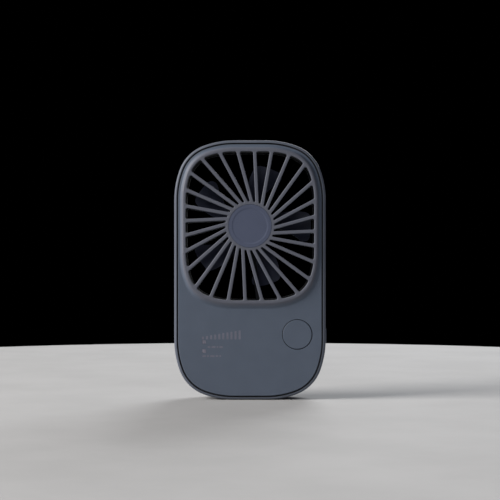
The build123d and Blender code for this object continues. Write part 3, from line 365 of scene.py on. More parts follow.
depth_shade_group, depth_shade_in, depth_shade_out = new_group("painted_depth_shade", [("All Round", FLOAT, 0.0)], [("Mask", FLOAT)])
depth_shade_place = depth_shade_group.nodes.new("ShaderNodeTexCoord").outputs["Object"]
depth_shade_from = depth_shade_group.nodes.new("ShaderNodeVectorMath")
depth_shade_from.operation = "SUBTRACT"
depth_shade_from.inputs[1].default_value = duct_eye
depth_shade_group.links.new(depth_shade_place, depth_shade_from.inputs[0])
depth_shade_normal = depth_shade_group.nodes.new("ShaderNodeNewGeometry")
depth_shade_dot = depth_shade_group.nodes.new("ShaderNodeVectorMath")
depth_shade_dot.operation = "DOT_PRODUCT"
depth_shade_group.links.new(depth_shade_from.outputs["Vector"], depth_shade_dot.inputs[0])
depth_shade_group.links.new(depth_shade_normal.outputs["Normal"], depth_shade_dot.inputs[1])
depth_shade_facing = ramp_node(depth_shade_group, depth_shade_dot.outputs["Value"], WALL_NONE, WALL_FULL)
print("the duct is judged from", [round(c / MM, 1) for c in duct_eye])

# %% Painted shade in the depths
depth_shade_split = depth_shade_group.nodes.new("ShaderNodeSeparateXYZ")
depth_shade_group.links.new(depth_shade_from.outputs["Vector"], depth_shade_split.inputs["Vector"])
depth_shade_depth = math_node(depth_shade_group, "SUBTRACT", depth_shade_split.outputs["Y"], SHADE_EYE_OUT)
depth_shade_wall = math_node(
    depth_shade_group, "MULTIPLY", depth_shade_facing, ramp_node(depth_shade_group, depth_shade_depth, *DUCT_SHADE_SPAN)
)
depth_shade_behind = math_node(
    depth_shade_group,
    "MULTIPLY",
    depth_shade_in.outputs["All Round"],
    ramp_node(depth_shade_group, depth_shade_depth, *BACK_SHADE_SPAN),
)
depth_shade_group.links.new(math_node(depth_shade_group, "MAXIMUM", depth_shade_wall, depth_shade_behind), depth_shade_out.inputs["Mask"])
print("group:", depth_shade_group.name)

# %% [markdown]
# ### Settled dust
#
# A fan moves a lot of air, and dust stays wherever a surface faces up. The upward part of the
# normal makes the mask, and noise thins it out. It is kept faint: this fan is nearly new.

# %% Settled dust
DUST_SPECKS = 1400.0  # specks to a metre
dust_group, dust_in, dust_out = new_group("settled_dust", [("Amount", FLOAT, 0.3)], [("Mask", FLOAT)])
dust_normal = dust_group.nodes.new("ShaderNodeNewGeometry")
dust_split = dust_group.nodes.new("ShaderNodeSeparateXYZ")
dust_group.links.new(dust_normal.outputs["Normal"], dust_split.inputs["Vector"])
dust_up = ramp_node(dust_group, dust_split.outputs["Z"], 0.55, 1.0)
dust_place = dust_group.nodes.new("ShaderNodeTexCoord").outputs["Object"]
dust_noise = noise_node(dust_group, dust_place, DUST_SPECKS, 4.0, 0.7)
dust_specks = ramp_node(dust_group, dust_noise, 0.42, 0.72)
dust_full = math_node(dust_group, "MULTIPLY", dust_up, dust_specks)
dust_amount = math_node(dust_group, "MULTIPLY", dust_full, dust_in.outputs["Amount"])
dust_group.links.new(dust_amount, dust_out.inputs["Mask"])
print("group:", dust_group.name)

# %% [markdown]
# ### Drawn metal
#
# Turned, ground and drawn metal is covered in fine parallel marks. Noise drawn out along one axis
# gives them. The same group serves the shaft, the screws, the yoke and the port's shell.

# %% Drawn metal
LINE_STRETCH = (1.0, 0.06, 1.0)  # the lines run along the fan's depth, as the shaft does
drawn_group, drawn_in, drawn_out = new_group(
    "drawn_metal", [("Line Size mm", FLOAT, 0.08)], [("Height", FLOAT), ("Streaks", FLOAT)]
)
drawn_place = drawn_group.nodes.new("ShaderNodeTexCoord").outputs["Object"]
drawn_stretch = drawn_group.nodes.new("ShaderNodeVectorMath")
drawn_stretch.operation = "MULTIPLY"
drawn_stretch.inputs[1].default_value = LINE_STRETCH
drawn_group.links.new(drawn_place, drawn_stretch.inputs[0])
drawn_scale = math_node(drawn_group, "DIVIDE", 1 / MM, drawn_in.outputs["Line Size mm"])
drawn_lines = noise_node(drawn_group, drawn_stretch.outputs["Vector"], drawn_scale, 2.0)
drawn_group.links.new(drawn_lines, drawn_out.inputs["Height"])
drawn_group.links.new(ramp_node(drawn_group, drawn_lines, 0.3, 0.7), drawn_out.inputs["Streaks"])
print("group:", drawn_group.name)


# %% [markdown]
# ## Finishes
#
# Each finish is one material with a Principled shader. A small helper starts it and another places
# a group, so that the recipes below read as short lists of what makes each surface special.


# %% Helpers for the finishes
def start_material(name, roughness, metallic=0.0):
    """A new material with its Principled shader, and nothing else yet."""
    material = bpy.data.materials.new(name)
    material.use_nodes = True
    shader = material.node_tree.nodes["Principled BSDF"]
    shader.inputs["Roughness"].default_value = roughness
    shader.inputs["Metallic"].default_value = metallic
    return material, material.node_tree, shader


def place_group(tree, group, **values):
    """Places a node group; underscores in the names of its inputs stand for spaces."""
    node = tree.nodes.new("ShaderNodeGroup")
    node.node_tree = group
    for label, value in values.items():
        node.inputs[label.replace("_", " ")].default_value = value
    return node


def mix_colors(tree, mask, a, b):
    """Mixes two colours, each a socket or a tuple, by a mask socket."""
    node = tree.nodes.new("ShaderNodeMix")
    node.data_type = "RGBA"
    tree.links.new(mask, node.inputs["Factor"])
    for socket, value in ((node.inputs[6], a), (node.inputs[7], b)):
        if isinstance(value, bpy.types.NodeSocket):
            tree.links.new(value, socket)
        else:
            socket.default_value = (*value, 1)
    return node.outputs[2]


def add_bump(tree, shader, height, depth_mm):
    """Sends a height to the shader's normal through a Bump node."""
    bump = tree.nodes.new("ShaderNodeBump")
    bump.inputs["Strength"].default_value = 1.0
    bump.inputs["Distance"].default_value = depth_mm * MM
    tree.links.new(height, bump.inputs["Height"])
    tree.links.new(bump.outputs["Normal"], shader.inputs["Normal"])


def shade(color, factor):
    """A colour made lighter or darker."""
    return tuple(min(1.0, channel * factor) for channel in color)


print("groups to place:", [group.name for group in bpy.data.node_groups])

# %% [markdown]
# ### Moulded plastics
#
# The casing, the grille, the button and the impeller are all moulded. They differ in colour, in how
# fine the mould's texture is and in how much they are handled, so one recipe serves them all. The
# layers lie on each other in this order: dye, a painted highlight on the crests, worn edges, dust,
# painted shade in the seams and painted shade in the duct.


# %% The moulded plastic recipe
CLOUD_DARK, CLOUD_PALE, CLOUD_ROUGH = 0.97, 1.03, 0.06
SPECKLE_SHADE = 1.22
RUBBED_SHADE, RUBBED_GLOSS = 1.45, 0.16
DUST_COLOR, DUST_ROUGH = (0.30, 0.29, 0.27), 0.3
SEAM_PAINTED_SHADE = 0.12  # what the painted shade in the seams leaves of the plastic's own colour
# how much the painted shade in the duct darkens the colour, and how much rougher it makes the walls
DEPTH_SHADE_FACTOR, DEPTH_SHADE_ROUGH = 0.05, 0.5


def moulded_plastic(
    name,
    color,
    roughness,
    grain_mm=0.25,
    depth_mm=0.012,
    wear=0.5,
    dust=0.25,
    crest_highlight_color=None,
    depth_shading=None,
):
    """Dyed plastic with mould texture, cloudiness, polished edges, a little dust and painted shade in
    the seams; a painted highlight on crests and painted shade in the duct when asked.
    """
    material, tree, shader = start_material(name, roughness)
    grain = place_group(tree, grain_group, Grain_Size_mm=grain_mm)
    edges = place_group(tree, polish_group)
    dusting = place_group(tree, dust_group, Amount=dust)
    base = mix_colors(tree, grain.outputs["Clouds"], shade(color, CLOUD_DARK), shade(color, CLOUD_PALE))
    # painted highlight: the grille's raised crests turn lighter and greyer
    if crest_highlight_color:
        crest_highlight = place_group(tree, crest_group)
        base = mix_colors(tree, crest_highlight.outputs["Mask"], base, crest_highlight_color)
    base = mix_colors(tree, grain.outputs["Speckle"], base, shade(color, SPECKLE_SHADE))
    rubbed = math_node(tree, "MULTIPLY", edges.outputs["Mask"], wear)
    base = mix_colors(tree, rubbed, base, shade(color, RUBBED_SHADE))
    base = mix_colors(tree, dusting.outputs["Mask"], base, DUST_COLOR)
    # painted shade: the colour darkens in seams and gaps, where less light reaches
    seams = place_group(tree, seam_group)
    base = mix_colors(tree, seams.outputs["Mask"], base, shade(color, SEAM_PAINTED_SHADE))
    cloudy = math_node(tree, "MULTIPLY", grain.outputs["Clouds"], CLOUD_ROUGH)
    rough = math_node(tree, "ADD", cloudy, roughness - CLOUD_ROUGH / 2)
    rough = math_node(tree, "SUBTRACT", rough, math_node(tree, "MULTIPLY", rubbed, RUBBED_GLOSS))
    dusty = math_node(tree, "MULTIPLY", dusting.outputs["Mask"], DUST_ROUGH)
    rough = math_node(tree, "ADD", rough, dusty, clamp=True)
    # painted shade on the duct's walls and on the cover's sides behind its face
    if depth_shading is not None:
        depth_shade_node = place_group(tree, depth_shade_group, All_Round=depth_shading)
        base = mix_colors(tree, depth_shade_node.outputs["Mask"], base, shade(color, DEPTH_SHADE_FACTOR))
        matted = math_node(tree, "MULTIPLY", depth_shade_node.outputs["Mask"], DEPTH_SHADE_ROUGH)
        rough = math_node(tree, "ADD", rough, matted, clamp=True)
    tree.links.new(base, shader.inputs["Base Color"])
    tree.links.new(rough, shader.inputs["Roughness"])
    add_bump(tree, shader, grain.outputs["Height"], depth_mm)
    shader.inputs["Specular IOR Level"].default_value = 0.42
    return material


# the second slate is a painted highlight for the grille's crests
SLATE, SLATE_PAINTED_HIGHLIGHT = (0.079, 0.100, 0.138), (0.098, 0.105, 0.132)
# the casing's slate darkened as painted shade, for the impeller deep inside the casing
SHADED_SLATE = (0.042, 0.047, 0.074)
finishes = {
    "housing_plastic": moulded_plastic("housing_plastic", (0.086, 0.099, 0.128), 0.52, depth_shading=0.0),
    "cover_plastic": moulded_plastic("cover_plastic", SLATE, 0.55, crest_highlight_color=SLATE_PAINTED_HIGHLIGHT, depth_shading=1.0),
    "cap_plastic": moulded_plastic("cap_plastic", (0.066, 0.080, 0.130), 0.50),
    "button_plastic": moulded_plastic("button_plastic", SLATE, 0.50, wear=0.8),
    "key_plastic": moulded_plastic("key_plastic", SLATE, 0.45, wear=0.9),
    "impeller_plastic": moulded_plastic("impeller_plastic", SHADED_SLATE, 0.38, wear=0.3, dust=0.5),
    "washer_nylon": moulded_plastic("washer_nylon", (0.62, 0.60, 0.54), 0.45, wear=0.1),
    "chip_black": moulded_plastic("chip_black", (0.018, 0.018, 0.020), 0.55, 0.12, wear=0.2),
    "switch_black": moulded_plastic("switch_black", (0.022, 0.022, 0.025), 0.48, 0.15, wear=0.2),
    "port_plastic": moulded_plastic("port_plastic", (0.018, 0.018, 0.018), 0.50, 0.15, wear=0.2),
    "socket_white": moulded_plastic("socket_white", (0.66, 0.65, 0.60), 0.42, 0.2, wear=0.1),
    "ceramic": moulded_plastic("ceramic", (0.34, 0.22, 0.13), 0.40, 0.1, wear=0.3),
    "ferrite": moulded_plastic("ferrite", (0.050, 0.050, 0.054), 0.65, 0.2, 0.03, wear=0.3),
    "magnet": moulded_plastic("magnet", (0.030, 0.030, 0.032), 0.60, 0.2, 0.03, wear=0.3),
}
print("plastics:", len(finishes))

# %% [markdown]
# ### Metals
#
# Steel, aluminium and bronze share one recipe too: a metallic shader whose roughness and height
# follow the drawn lines, with brighter rubbed edges and a few dull, stained patches.


# %% The metal recipe
STAIN_DARK, STAIN_PALE = 0.86, 1.06
EDGE_SHADE = 1.25
STREAK_ROUGH = 0.14


def worked_metal(name, color, roughness, line_mm=0.08, depth_mm=0.006):
    """Drawn or turned metal with streaks and faint stains."""
    material, tree, shader = start_material(name, roughness, 1.0)
    drawn = place_group(tree, drawn_group, Line_Size_mm=line_mm)
    stains = place_group(tree, grain_group, Cloud_Size_mm=3.0)
    edges = place_group(tree, polish_group, Patchiness=0.4)
    base = mix_colors(tree, stains.outputs["Clouds"], shade(color, STAIN_DARK), shade(color, STAIN_PALE))
    base = mix_colors(tree, edges.outputs["Mask"], base, shade(color, EDGE_SHADE))
    tree.links.new(base, shader.inputs["Base Color"])
    streaky = math_node(tree, "MULTIPLY", drawn.outputs["Streaks"], STREAK_ROUGH)
    rough = math_node(tree, "ADD", streaky, roughness - STREAK_ROUGH / 2)
    tree.links.new(rough, shader.inputs["Roughness"])
    add_bump(tree, shader, drawn.outputs["Height"], depth_mm)
    return material


finishes["bracket_alloy"] = worked_metal("bracket_alloy", (0.60, 0.61, 0.63), 0.42, 0.2)
finishes["bush_bronze"] = worked_metal("bush_bronze", (0.55, 0.33, 0.13), 0.45, 0.15)
finishes["shaft_steel"] = worked_metal("shaft_steel", (0.62, 0.62, 0.63), 0.22)
finishes["core_steel"] = worked_metal("core_steel", (0.20, 0.20, 0.21), 0.48)
finishes["yoke_steel"] = worked_metal("yoke_steel", (0.47, 0.47, 0.46), 0.35)
finishes["port_steel"] = worked_metal("port_steel", (0.60, 0.60, 0.61), 0.28)
finishes["screw_steel"] = worked_metal("screw_steel", (0.13, 0.13, 0.14), 0.36)
print("finishes so far:", len(finishes))

# %% [markdown]
# ### Enamelled wire
#
# The motor is wound with copper wire under a clear lacquer. The lacquer makes it glossier and redder
# than bare copper, and its tone drifts along the wire. The turns themselves are geometry, below.

# %% Enamelled wire
finishes["copper_wire"] = worked_metal("copper_wire", (0.62, 0.23, 0.075), 0.30, 0.3)
print("finishes so far:", len(finishes))

# %% [markdown]
# ### Circuit board
#
# Under its green lacquer a board has copper tracks, which run in bundles of straight parallel lines
# and turn at right angles. Two sets of thin bands are made, one upright and one level. A Voronoi
# texture with square cells then decides, block by block, which of the two shows.

# %% Circuit board
TRACK_BLOCKS, TRACK_LINES = 190.0, 260.0  # scales of the two textures, to a metre
LACQUER, LACQUERED_TRACK = (0.008, 0.062, 0.027), (0.017, 0.115, 0.047)
material, tree, shader = start_material("circuit_board", 0.30)
track_place = tree.nodes.new("ShaderNodeTexCoord").outputs["Object"]
track_cells = tree.nodes.new("ShaderNodeTexVoronoi")
track_cells.distance = "CHEBYCHEV"
track_cells.inputs["Scale"].default_value = TRACK_BLOCKS
tree.links.new(track_place, track_cells.inputs["Vector"])
track_choice = tree.nodes.new("ShaderNodeSeparateXYZ")
tree.links.new(track_cells.outputs["Color"], track_choice.inputs["Vector"])
track_sets = []
for direction in ("X", "Z"):
    bands = tree.nodes.new("ShaderNodeTexWave")
    bands.bands_direction = direction
    bands.inputs["Scale"].default_value = TRACK_LINES
    tree.links.new(track_place, bands.inputs["Vector"])
    track_sets.append(ramp_node(tree, bands.outputs["Fac"], 0.62, 0.80))
level_shows = math_node(tree, "GREATER_THAN", track_choice.outputs["X"], 0.5)
upright_shows = math_node(tree, "LESS_THAN", track_choice.outputs["X"], 0.38)
tracks = math_node(
    tree,
    "ADD",
    math_node(tree, "MULTIPLY", track_sets[0], upright_shows),
    math_node(tree, "MULTIPLY", track_sets[1], level_shows),
)
tree.links.new(mix_colors(tree, tracks, LACQUER, LACQUERED_TRACK), shader.inputs["Base Color"])
add_bump(tree, shader, tracks, 0.035)
shader.inputs["Coat Weight"].default_value = 0.6
finishes["circuit_board"] = material
print("track blocks per metre:", TRACK_BLOCKS)

# %% [markdown]
# ### Battery foil, foam and wires
#
# The cell is wrapped in embossed aluminium foil, so it gets a metallic shader with a fine dimple
# pattern and slow creases. The foam behind it has open cells, and the wires have smooth insulation
# with a faint cloudiness from the extruder.

# %% Battery foil
material, tree, shader = start_material("pouch_foil", 0.34, 1.0)
foil = place_group(tree, grain_group, Grain_Size_mm=0.9, Cloud_Size_mm=14.0)
tree.links.new(
    mix_colors(tree, foil.outputs["Clouds"], (0.58, 0.59, 0.61), (0.70, 0.71, 0.73)),
    shader.inputs["Base Color"],
)
foil_rough = math_node(tree, "MULTIPLY", foil.outputs["Clouds"], 0.12)
tree.links.new(math_node(tree, "ADD", foil_rough, 0.28), shader.inputs["Roughness"])
add_bump(tree, shader, foil.outputs["Height"], 0.06)
finishes["pouch_foil"] = material
print("finish:", material.name)

# %% Foam and insulation
FOAM_CELLS = 1800.0  # cells to a metre
material, tree, shader = start_material("foam_pad", 0.95)
foam_place = tree.nodes.new("ShaderNodeTexCoord").outputs["Object"]
foam_cells = tree.nodes.new("ShaderNodeTexVoronoi")
foam_cells.inputs["Scale"].default_value = FOAM_CELLS
tree.links.new(foam_place, foam_cells.inputs["Vector"])
tree.links.new(
    mix_colors(tree, foam_cells.outputs["Distance"], (0.008, 0.008, 0.008), (0.045, 0.045, 0.045)),
    shader.inputs["Base Color"],
)
add_bump(tree, shader, foam_cells.outputs["Distance"], 0.15)
finishes["foam_pad"] = material
for name, color in (("wire_red", (0.42, 0.018, 0.015)), ("wire_black", (0.014, 0.014, 0.014))):
    finishes[name] = moulded_plastic(name, color, 0.38, 0.3, 0.004, wear=0.0, dust=0.1)
print("finishes so far:", len(finishes))

# %% [markdown]
# ### Light windows and lamps
#
# The two small windows are milky, so that the lamps behind them don't show as dots. A little
# transmission and a pale, slightly uneven tone give them depth. The lamps are unlit.


# %% Light windows and lamps
def milky_plastic(name, color, roughness, clearness):
    """Cloudy plastic that lets some light in."""
    material, tree, shader = start_material(name, roughness)
    haze = place_group(tree, grain_group, Grain_Size_mm=0.3, Cloud_Size_mm=1.2)
    tree.links.new(
        mix_colors(tree, haze.outputs["Clouds"], shade(color, 0.9), shade(color, 1.08)),
        shader.inputs["Base Color"],
    )
    add_bump(tree, shader, haze.outputs["Height"], 0.004)
    shader.inputs["Transmission Weight"].default_value = clearness
    shader.inputs["Coat Weight"].default_value = 0.3
    return material


finishes["clear_window"] = milky_plastic("clear_window", (0.185, 0.182, 0.230), 0.35, 0.15)
finishes["led_white"] = milky_plastic("led_white", (0.80, 0.74, 0.50), 0.30, 0.0)
print("finishes:", len(finishes))

# %% [markdown]
# ## Giving every part its finish
#
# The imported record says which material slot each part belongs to, so a loop can do the rest. Only
# the slot of the object is set, and the part's mesh is left as it was made.

# %% Giving every part its finish
for entry in frame["record"]["subparts"]:
    part = frame["nodes"][entry["node"]]
    for slot in part.material_slots:
        slot.material = finishes[entry["material_slot"]]

# %% [markdown]
# ## The motor's windings
#
# In the engineering model each winding is a plain closed ring. The real one is a length of wire laid
# turn by turn round a tooth of the core. A poly curve with a round bevel is the shortest way to
# make wire: the points run round the tooth on a rounded rectangle and creep outward a little with
# every turn, then come back in a second and a third layer on top.

# %% The path of one winding
TEETH = 9
TOOTH_HALF_W = 0.83 * MM
WIRE_R = 0.145 * MM
LAYER_RISE = 0.28 * MM
FIRST_LAYER = 0.19 * MM
LAYER_STARTS = (4.95 * MM, 4.95 * MM, 6.2 * MM)  # distance from the motor's axis, one for each layer
WIND_END = 7.75 * MM
TURN_STEPS = 16
CORNER_POWER = 0.42  # under 1 makes a circle's path boxy

core_low, core_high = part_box("stator_core")
core_middle = (core_low + core_high) / 2
TOOTH_HALF_L = (core_high[1] - core_low[1]) / 2


def boxy(wave):
    """A sine or cosine pushed out towards the corners of a square."""
    return math.copysign(abs(wave) ** CORNER_POWER, wave)


def winding_path():
    """Points (across, along the axis, out from the axis) of one winding, layer after layer."""
    points = []
    for layer, start in enumerate(LAYER_STARTS):
        lift = FIRST_LAYER + layer * LAYER_RISE
        turns = int((WIND_END - start) / (2.1 * WIRE_R))
        for step in range(turns * TURN_STEPS):
            share = step / (turns * TURN_STEPS)
            out = start + (WIND_END - start) * (share if layer % 2 == 0 else 1 - share)
            angle = math.tau * step / TURN_STEPS
            across = (TOOTH_HALF_W + lift) * boxy(math.cos(angle))
            along = (TOOTH_HALF_L + lift) * boxy(math.sin(angle))
            points.append((across, along, out))
    return points


print("points in one winding:", len(winding_path()))

# %% Nine windings
windings_curve = bpy.data.curves.new("windings", "CURVE")
windings_curve.dimensions = "3D"
windings_curve.bevel_depth = WIRE_R
windings_curve.bevel_resolution = 1
windings_curve.use_fill_caps = True
for n in range(TEETH):
    turn = math.tau * n / TEETH
    path = winding_path()
    spline = windings_curve.splines.new("POLY")
    spline.points.add(len(path) - 1)
    for point, (across, along, out) in zip(spline.points, path):
        x = core_middle[0] + out * math.sin(turn) + across * math.cos(turn)
        z = core_middle[2] + out * math.cos(turn) - across * math.sin(turn)
        point.co = (x, core_middle[1] + along, z, 1)
windings_curve.materials.append(finishes["copper_wire"])
windings = bpy.data.objects.new("windings", windings_curve)
bpy.context.scene.collection.objects.link(windings)
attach(windings, "casing")
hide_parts("stator_coils")
print("windings:", len(windings_curve.splines))

# %% [markdown]
# ## The battery pouch
#
# A pouch cell isn't a block. Its foil is pinched thin along the edges, swells towards the middle and
# wrinkles where it was folded. A finely divided block is a good start: each point is moved by a
# rule that knows how far it lies from an edge, and a Subdivision modifier smooths the result. The
# foam pad behind it is made with the same helper and a gentler rule.


# %% Helpers for mesh pieces and soft blocks
def casing_piece(name, form, material):
    """Turns a finished bmesh into a piece that rides on the casing."""
    mesh = bpy.data.meshes.new(name)
    form.to_mesh(mesh)
    form.free()
    mesh.materials.append(material)
    piece = bpy.data.objects.new(name, mesh)
    bpy.context.scene.collection.objects.link(piece)
    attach(piece, "casing")
    print(name, "faces:", len(mesh.polygons))
    return piece


def soft_block(name, cuts, place_point, finish, node=None):
    """A divided block whose points are placed by a rule; it may stand for a node."""
    form = bmesh.new()
    bmesh.ops.create_cube(form, size=2.0)
    bmesh.ops.subdivide_edges(form, edges=form.edges[:], cuts=cuts, use_grid_fill=True)
    for vert in form.verts:
        vert.co = place_point(vert.co.copy())
    for face in form.faces:
        face.smooth = True
    piece = casing_piece(name, form, finishes[finish])
    smooth = piece.modifiers.new("smooth", "SUBSURF")
    smooth.levels = smooth.render_levels = 1
    if node:
        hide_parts(node)


def crowd_edges(unit, power=1.5):
    """Moves points of a unit block towards its edges, where the shape changes fastest."""
    return Vector(math.copysign(1 - (1 - min(1.0, abs(c))) ** power, c) for c in unit)


# %% The pouch
FOLD_T = 0.7 * MM  # room at each side for the folded seam
SLACK = Vector((FOLD_T, 0.1 * MM, 0.05 * MM))  # what the pouch stays inside its node's box
PINCH, PINCH_REACH = 0.40, 1.4 * MM
CROWN = 0.04
WRINKLE, WRINKLE_REACH, WRINKLE_SIZE = 0.10 * MM, 4.0 * MM, 2.2 * MM
CORNER_START, CORNER_REACH = 1.9, 0.1  # out of 2, which is the very corner
CORNER_CUT_X, CORNER_CUT_Z = 0.02, 0.04
cell_low, cell_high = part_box("battery_cell")
cell_middle = (cell_low + cell_high) / 2
cell_half = (cell_high - cell_low) / 2 - SLACK


def pouch_point(unit):
    """Where a point of a unit block lies on the swollen pouch."""
    unit = crowd_edges(unit)
    from_side = (1 - abs(unit.x)) * cell_half.x
    from_end = (1 - abs(unit.z)) * cell_half.z
    pinch = PINCH * (math.exp(-from_side / PINCH_REACH) + math.exp(-from_end / PINCH_REACH))
    crown = 1 - CROWN * (unit.x**2 + unit.z**2)
    thick = unit.y * cell_half.y * crown * (1 - pinch)
    place = Vector((unit.x * cell_half.x, thick, unit.z * cell_half.z))
    folded = math.exp(-min(from_side, from_end) / WRINKLE_REACH)
    place.y -= unit.y * WRINKLE * folded * (1 + noise.noise(place / WRINKLE_SIZE))
    corner = max(0.0, abs(unit.x) + abs(unit.z) - CORNER_START) / CORNER_REACH
    place.x *= 1 - CORNER_CUT_X * corner
    place.z *= 1 - CORNER_CUT_Z * corner
    return cell_middle + place


soft_block("battery_pouch", 26, pouch_point, "pouch_foil", "battery_cell")

# %% The folded side seams
SEAM_T = 0.22 * MM
SEAM_H = 0.72  # share of the pouch's thickness
SEAM_LIFT = 0.16 * MM
SEAM_SHORT = 1.5 * MM  # how much sooner than the pouch a seam ends


def seam_rule(side):
    """Gives the rule for the seam on one side: a thin strip that lifts off the pouch a little."""

    def seam_point(unit):
        lift = SEAM_LIFT * (1 + noise.noise(Vector((side * 5.0, unit.y * 0.8, unit.z * 4.0))))
        x = side * (cell_half.x + SEAM_T + lift) + unit.x * SEAM_T / 2
        y = unit.y * cell_half.y * SEAM_H
        z = unit.z * (cell_half.z - SEAM_SHORT)
        return cell_middle + Vector((x, y, z))

    return seam_point


soft_block("battery_left_seam", 10, seam_rule(-1), "pouch_foil")
soft_block("battery_right_seam", 10, seam_rule(1), "pouch_foil")

# %% The foam pad
PAD_THINNER, PAD_EDGE = 0.35, 0.3 * MM  # how much thinner the cut edge is, and how far that reaches
PAD_UNEVEN = 0.006
pad_low, pad_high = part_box("battery_pad")
pad_middle = (pad_low + pad_high) / 2
pad_half = (pad_high - pad_low) / 2


def pad_point(unit):
    """Foam cut with a knife: flat, a little rounded and not quite straight."""
    unit = crowd_edges(unit, 2.0)
    from_edge = min((1 - abs(unit.x)) * pad_half.x, (1 - abs(unit.z)) * pad_half.z)
    thin = 1 - PAD_THINNER * math.exp(-from_edge / PAD_EDGE)
    uneven = 1 - PAD_UNEVEN * (1 + noise.noise(Vector((unit.x * 6.0, 3.0, unit.z * 6.0))))
    across, up = unit.x * pad_half.x * uneven, unit.z * pad_half.z * uneven
    return pad_middle + Vector((across, unit.y * pad_half.y * thin, up))


soft_block("foam_strip", 22, pad_point, "foam_pad", "battery_pad")

# %% [markdown]
# ## Small fittings on the circuit board
#
# The engineering model has the board's large components. A real board also has dozens of tiny ones.
# Here they are rows of resistors with tinned ends, and a line of test pads: small bevelled blocks,
# many to a mesh, placed from a corner of the chip and a corner of the board.


# %% A helper for rows of small blocks
BLOCK_BEVEL = 0.05 * MM


def small_blocks(name, finish, blocks, bevel=BLOCK_BEVEL):
    """One piece from bevelled blocks, each given by its centre and its full size."""
    form = bmesh.new()
    for centre, size in blocks:
        matrix = Matrix.Translation(centre) @ Matrix.Diagonal((*size, 1.0))
        bmesh.ops.create_cube(form, size=1.0, matrix=matrix)
    bmesh.ops.bevel(form, geom=form.edges[:], offset=bevel, segments=2, affect="EDGES", profile=0.6)
    casing_piece(name, form, finishes[finish])


print("bevel of a small block in mm:", BLOCK_BEVEL / MM)

# %% Resistors, tinned ends and test pads
board_low, board_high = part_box("main_board")
BOARD_BACK = board_high[1]
chip_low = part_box("controller_chip")[0]
RES_L, RES_W, RES_T = 1.6 * MM, 0.8 * MM, 0.45 * MM
CAP_END = 0.3 * MM
RES_COLUMNS, RES_ROWS = 6, 4
RES_PITCH_X, RES_PITCH_Z = 2.6 * MM, 1.7 * MM
RES_IN, RES_UNDER = 0.6 * MM, 7.5 * MM  # from the chip's corner to the first resistor
bodies, tinned = [], []
for column in range(RES_COLUMNS):
    for row in range(RES_ROWS):
        if (column + 2 * row) % 5 == 4:
            continue  # a place left empty, as most boards have
        x = chip_low[0] + RES_IN + column * RES_PITCH_X
        z = chip_low[2] - RES_UNDER - row * RES_PITCH_Z
        y = BOARD_BACK + RES_T / 2
        bodies.append(((x, y, z), (RES_L - 2 * CAP_END, RES_T, RES_W)))
        for side in (-1, 1):
            x_end = x + side * (RES_L - CAP_END) / 2
            tinned.append(((x_end, y, z), (CAP_END, RES_T * 1.06, RES_W * 1.04)))
small_blocks("resistors", "chip_black", bodies)
small_blocks("resistor_ends", "port_steel", tinned)

TEST_PADS, TEST_PITCH = 8, 2.0 * MM
TEST_IN, TEST_UP = 8 * MM, 16.5 * MM  # from the board's corner to the first pad
TEST_W, TEST_T = 1.1 * MM, 0.06 * MM
pads = []
for n in range(TEST_PADS):
    x = board_low[0] + TEST_IN + n * TEST_PITCH
    pads.append(((x, BOARD_BACK + TEST_T / 2, board_low[2] + TEST_UP), (TEST_W, TEST_T, TEST_W)))
small_blocks("test_pads", "bush_bronze", pads, bevel=0.02 * MM)

# %% [markdown]
# ## Printed marks
#
# Pad printing leaves a film of ink a few hundredths of a millimetre thick. Here it is real
# geometry, so it survives export: each mark is a flat plate with rounded ends, just proud of the
# panel. A texture could do it too, but it would need UVs and would blur when seen close up. The
# marks are a plain row of level bars, which grow to the right, and short lines beside the windows.


# %% A helper that makes a printed plate
INK_T = 0.03 * MM


def ink_outline(form, x, z, width, height, corner, steps=6):
    """Adds a rounded rectangle of ink to a bmesh: its front face and its thin wall."""
    corners = ((1, 1, 0), (-1, 1, 90), (-1, -1, 180), (1, -1, 270))
    front, back = [], []
    for side_x, side_z, start in corners:
        for n in range(steps + 1):
            angle = math.radians(start + 90 * n / steps)
            px = x + side_x * (width / 2 - corner) + corner * math.cos(angle)
            pz = z + side_z * (height / 2 - corner) + corner * math.sin(angle)
            front.append(form.verts.new((px, PANEL_FACE - INK_T, pz)))
            back.append(form.verts.new((px, PANEL_FACE, pz)))
    form.faces.new(front)
    count = len(front)
    for n in range(count):
        after = (n + 1) % count
        form.faces.new((front[n], back[n], back[after], front[after]))


def printed_piece(name, plates):
    """One object from a list of plates (x, z, width, height, corner), in metres."""
    form = bmesh.new()
    for plate in plates:
        ink_outline(form, *plate)
    bmesh.ops.recalc_face_normals(form, faces=form.faces)
    casing_piece(name, form, ink)


print("ink thickness in mm:", INK_T / MM)

# %% [markdown]
# The ink is a pale grey that has sunk into the grain a little, so it is uneven, and rougher than
# the plastic round it.

# %% Ink
INK_COLOR = (0.126, 0.130, 0.170)
ink, tree, shader = start_material("panel_ink", 0.6)
ink_grain = place_group(tree, grain_group, Grain_Size_mm=0.18, Cloud_Size_mm=2.5)
ink_tone = mix_colors(tree, ink_grain.outputs["Clouds"], shade(INK_COLOR, 0.9), shade(INK_COLOR, 1.08))
tree.links.new(
    mix_colors(tree, ink_grain.outputs["Speckle"], ink_tone, SLATE), shader.inputs["Base Color"]
)
add_bump(tree, shader, ink_grain.outputs["Height"], 0.006)
print("finish:", ink.name)

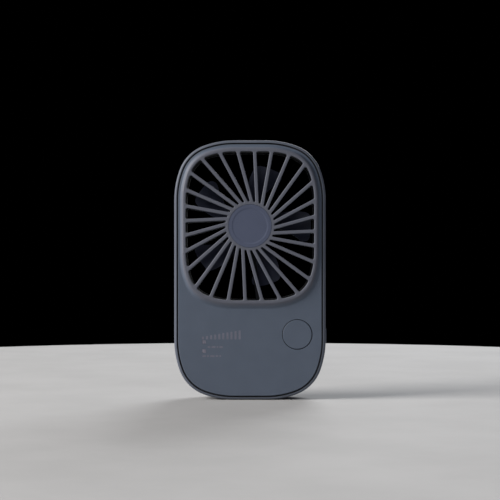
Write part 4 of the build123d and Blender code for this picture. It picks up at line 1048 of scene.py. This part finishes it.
# %% Level bars
window_low, window_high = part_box("light_pipe")
WINDOW_X = (window_low[0] + window_high[0]) / 2
BARS, BAR_PITCH, BAR_W, BAR_ROUND = 10, 2.2 * MM, 1.2 * MM, 0.35 * MM
BAR_SHORT, BAR_TALL = 1.6 * MM, 4.9 * MM
FIRST_BAR_X = WINDOW_X - 0.6 * MM
row_z = window_high[2] - 0.4 * MM
bars = []
for n in range(BARS):
    tall = BAR_SHORT + (BAR_TALL - BAR_SHORT) * n / (BARS - 1)
    bars.append((FIRST_BAR_X + n * BAR_PITCH, row_z + tall / 2, BAR_W, tall, BAR_ROUND))
printed_piece("level_bars", bars)

# %% Lines beside the windows
DASH_H, DASH_GAP, DASH_ROUND = 1.0 * MM, 0.5 * MM, 0.3 * MM
DASH_DROP, DASH_PITCH = 4.1 * MM, 4.9 * MM  # under the bars' foot, and from row to row
DASH_ROWS = (  # where each row starts, and its lines' widths in mm
    (WINDOW_X + 1.9 * MM, (1.5, 2.3, 1.0, 1.9)),
    (WINDOW_X - 0.9 * MM, (1.9, 1.1, 2.6, 1.5, 1.0)),
)
dashes = []
for row, (x, widths) in enumerate(DASH_ROWS):
    z = row_z - DASH_DROP - row * DASH_PITCH
    for width in widths:
        dashes.append((x + width * MM / 2, z, width * MM, DASH_H, DASH_ROUND))
        x += width * MM + DASH_GAP
printed_piece("window_lines", dashes)

# %% [markdown]
# ## The floor
#
# A plain pale disc for the fan to stand on. It isn't part of the fan.

# %% The floor
FLOOR_RADIUS = 0.45
floor_mesh = bpy.data.meshes.new("floor")
floor_form = bmesh.new()
bmesh.ops.create_circle(floor_form, cap_ends=True, segments=128, radius=FLOOR_RADIUS)
floor_form.to_mesh(floor_mesh)
floor_form.free()
floor = bpy.data.objects.new("floor", floor_mesh)
bpy.context.scene.collection.objects.link(floor)
material, tree, shader = start_material("floor_paper", 0.8)
paper = place_group(tree, grain_group, Grain_Size_mm=0.8, Cloud_Size_mm=60.0)
tree.links.new(
    mix_colors(tree, paper.outputs["Clouds"], (0.37, 0.37, 0.365), (0.40, 0.40, 0.395)),
    shader.inputs["Base Color"],
)
floor_mesh.materials.append(material)
print("floor radius in metres:", FLOOR_RADIUS)
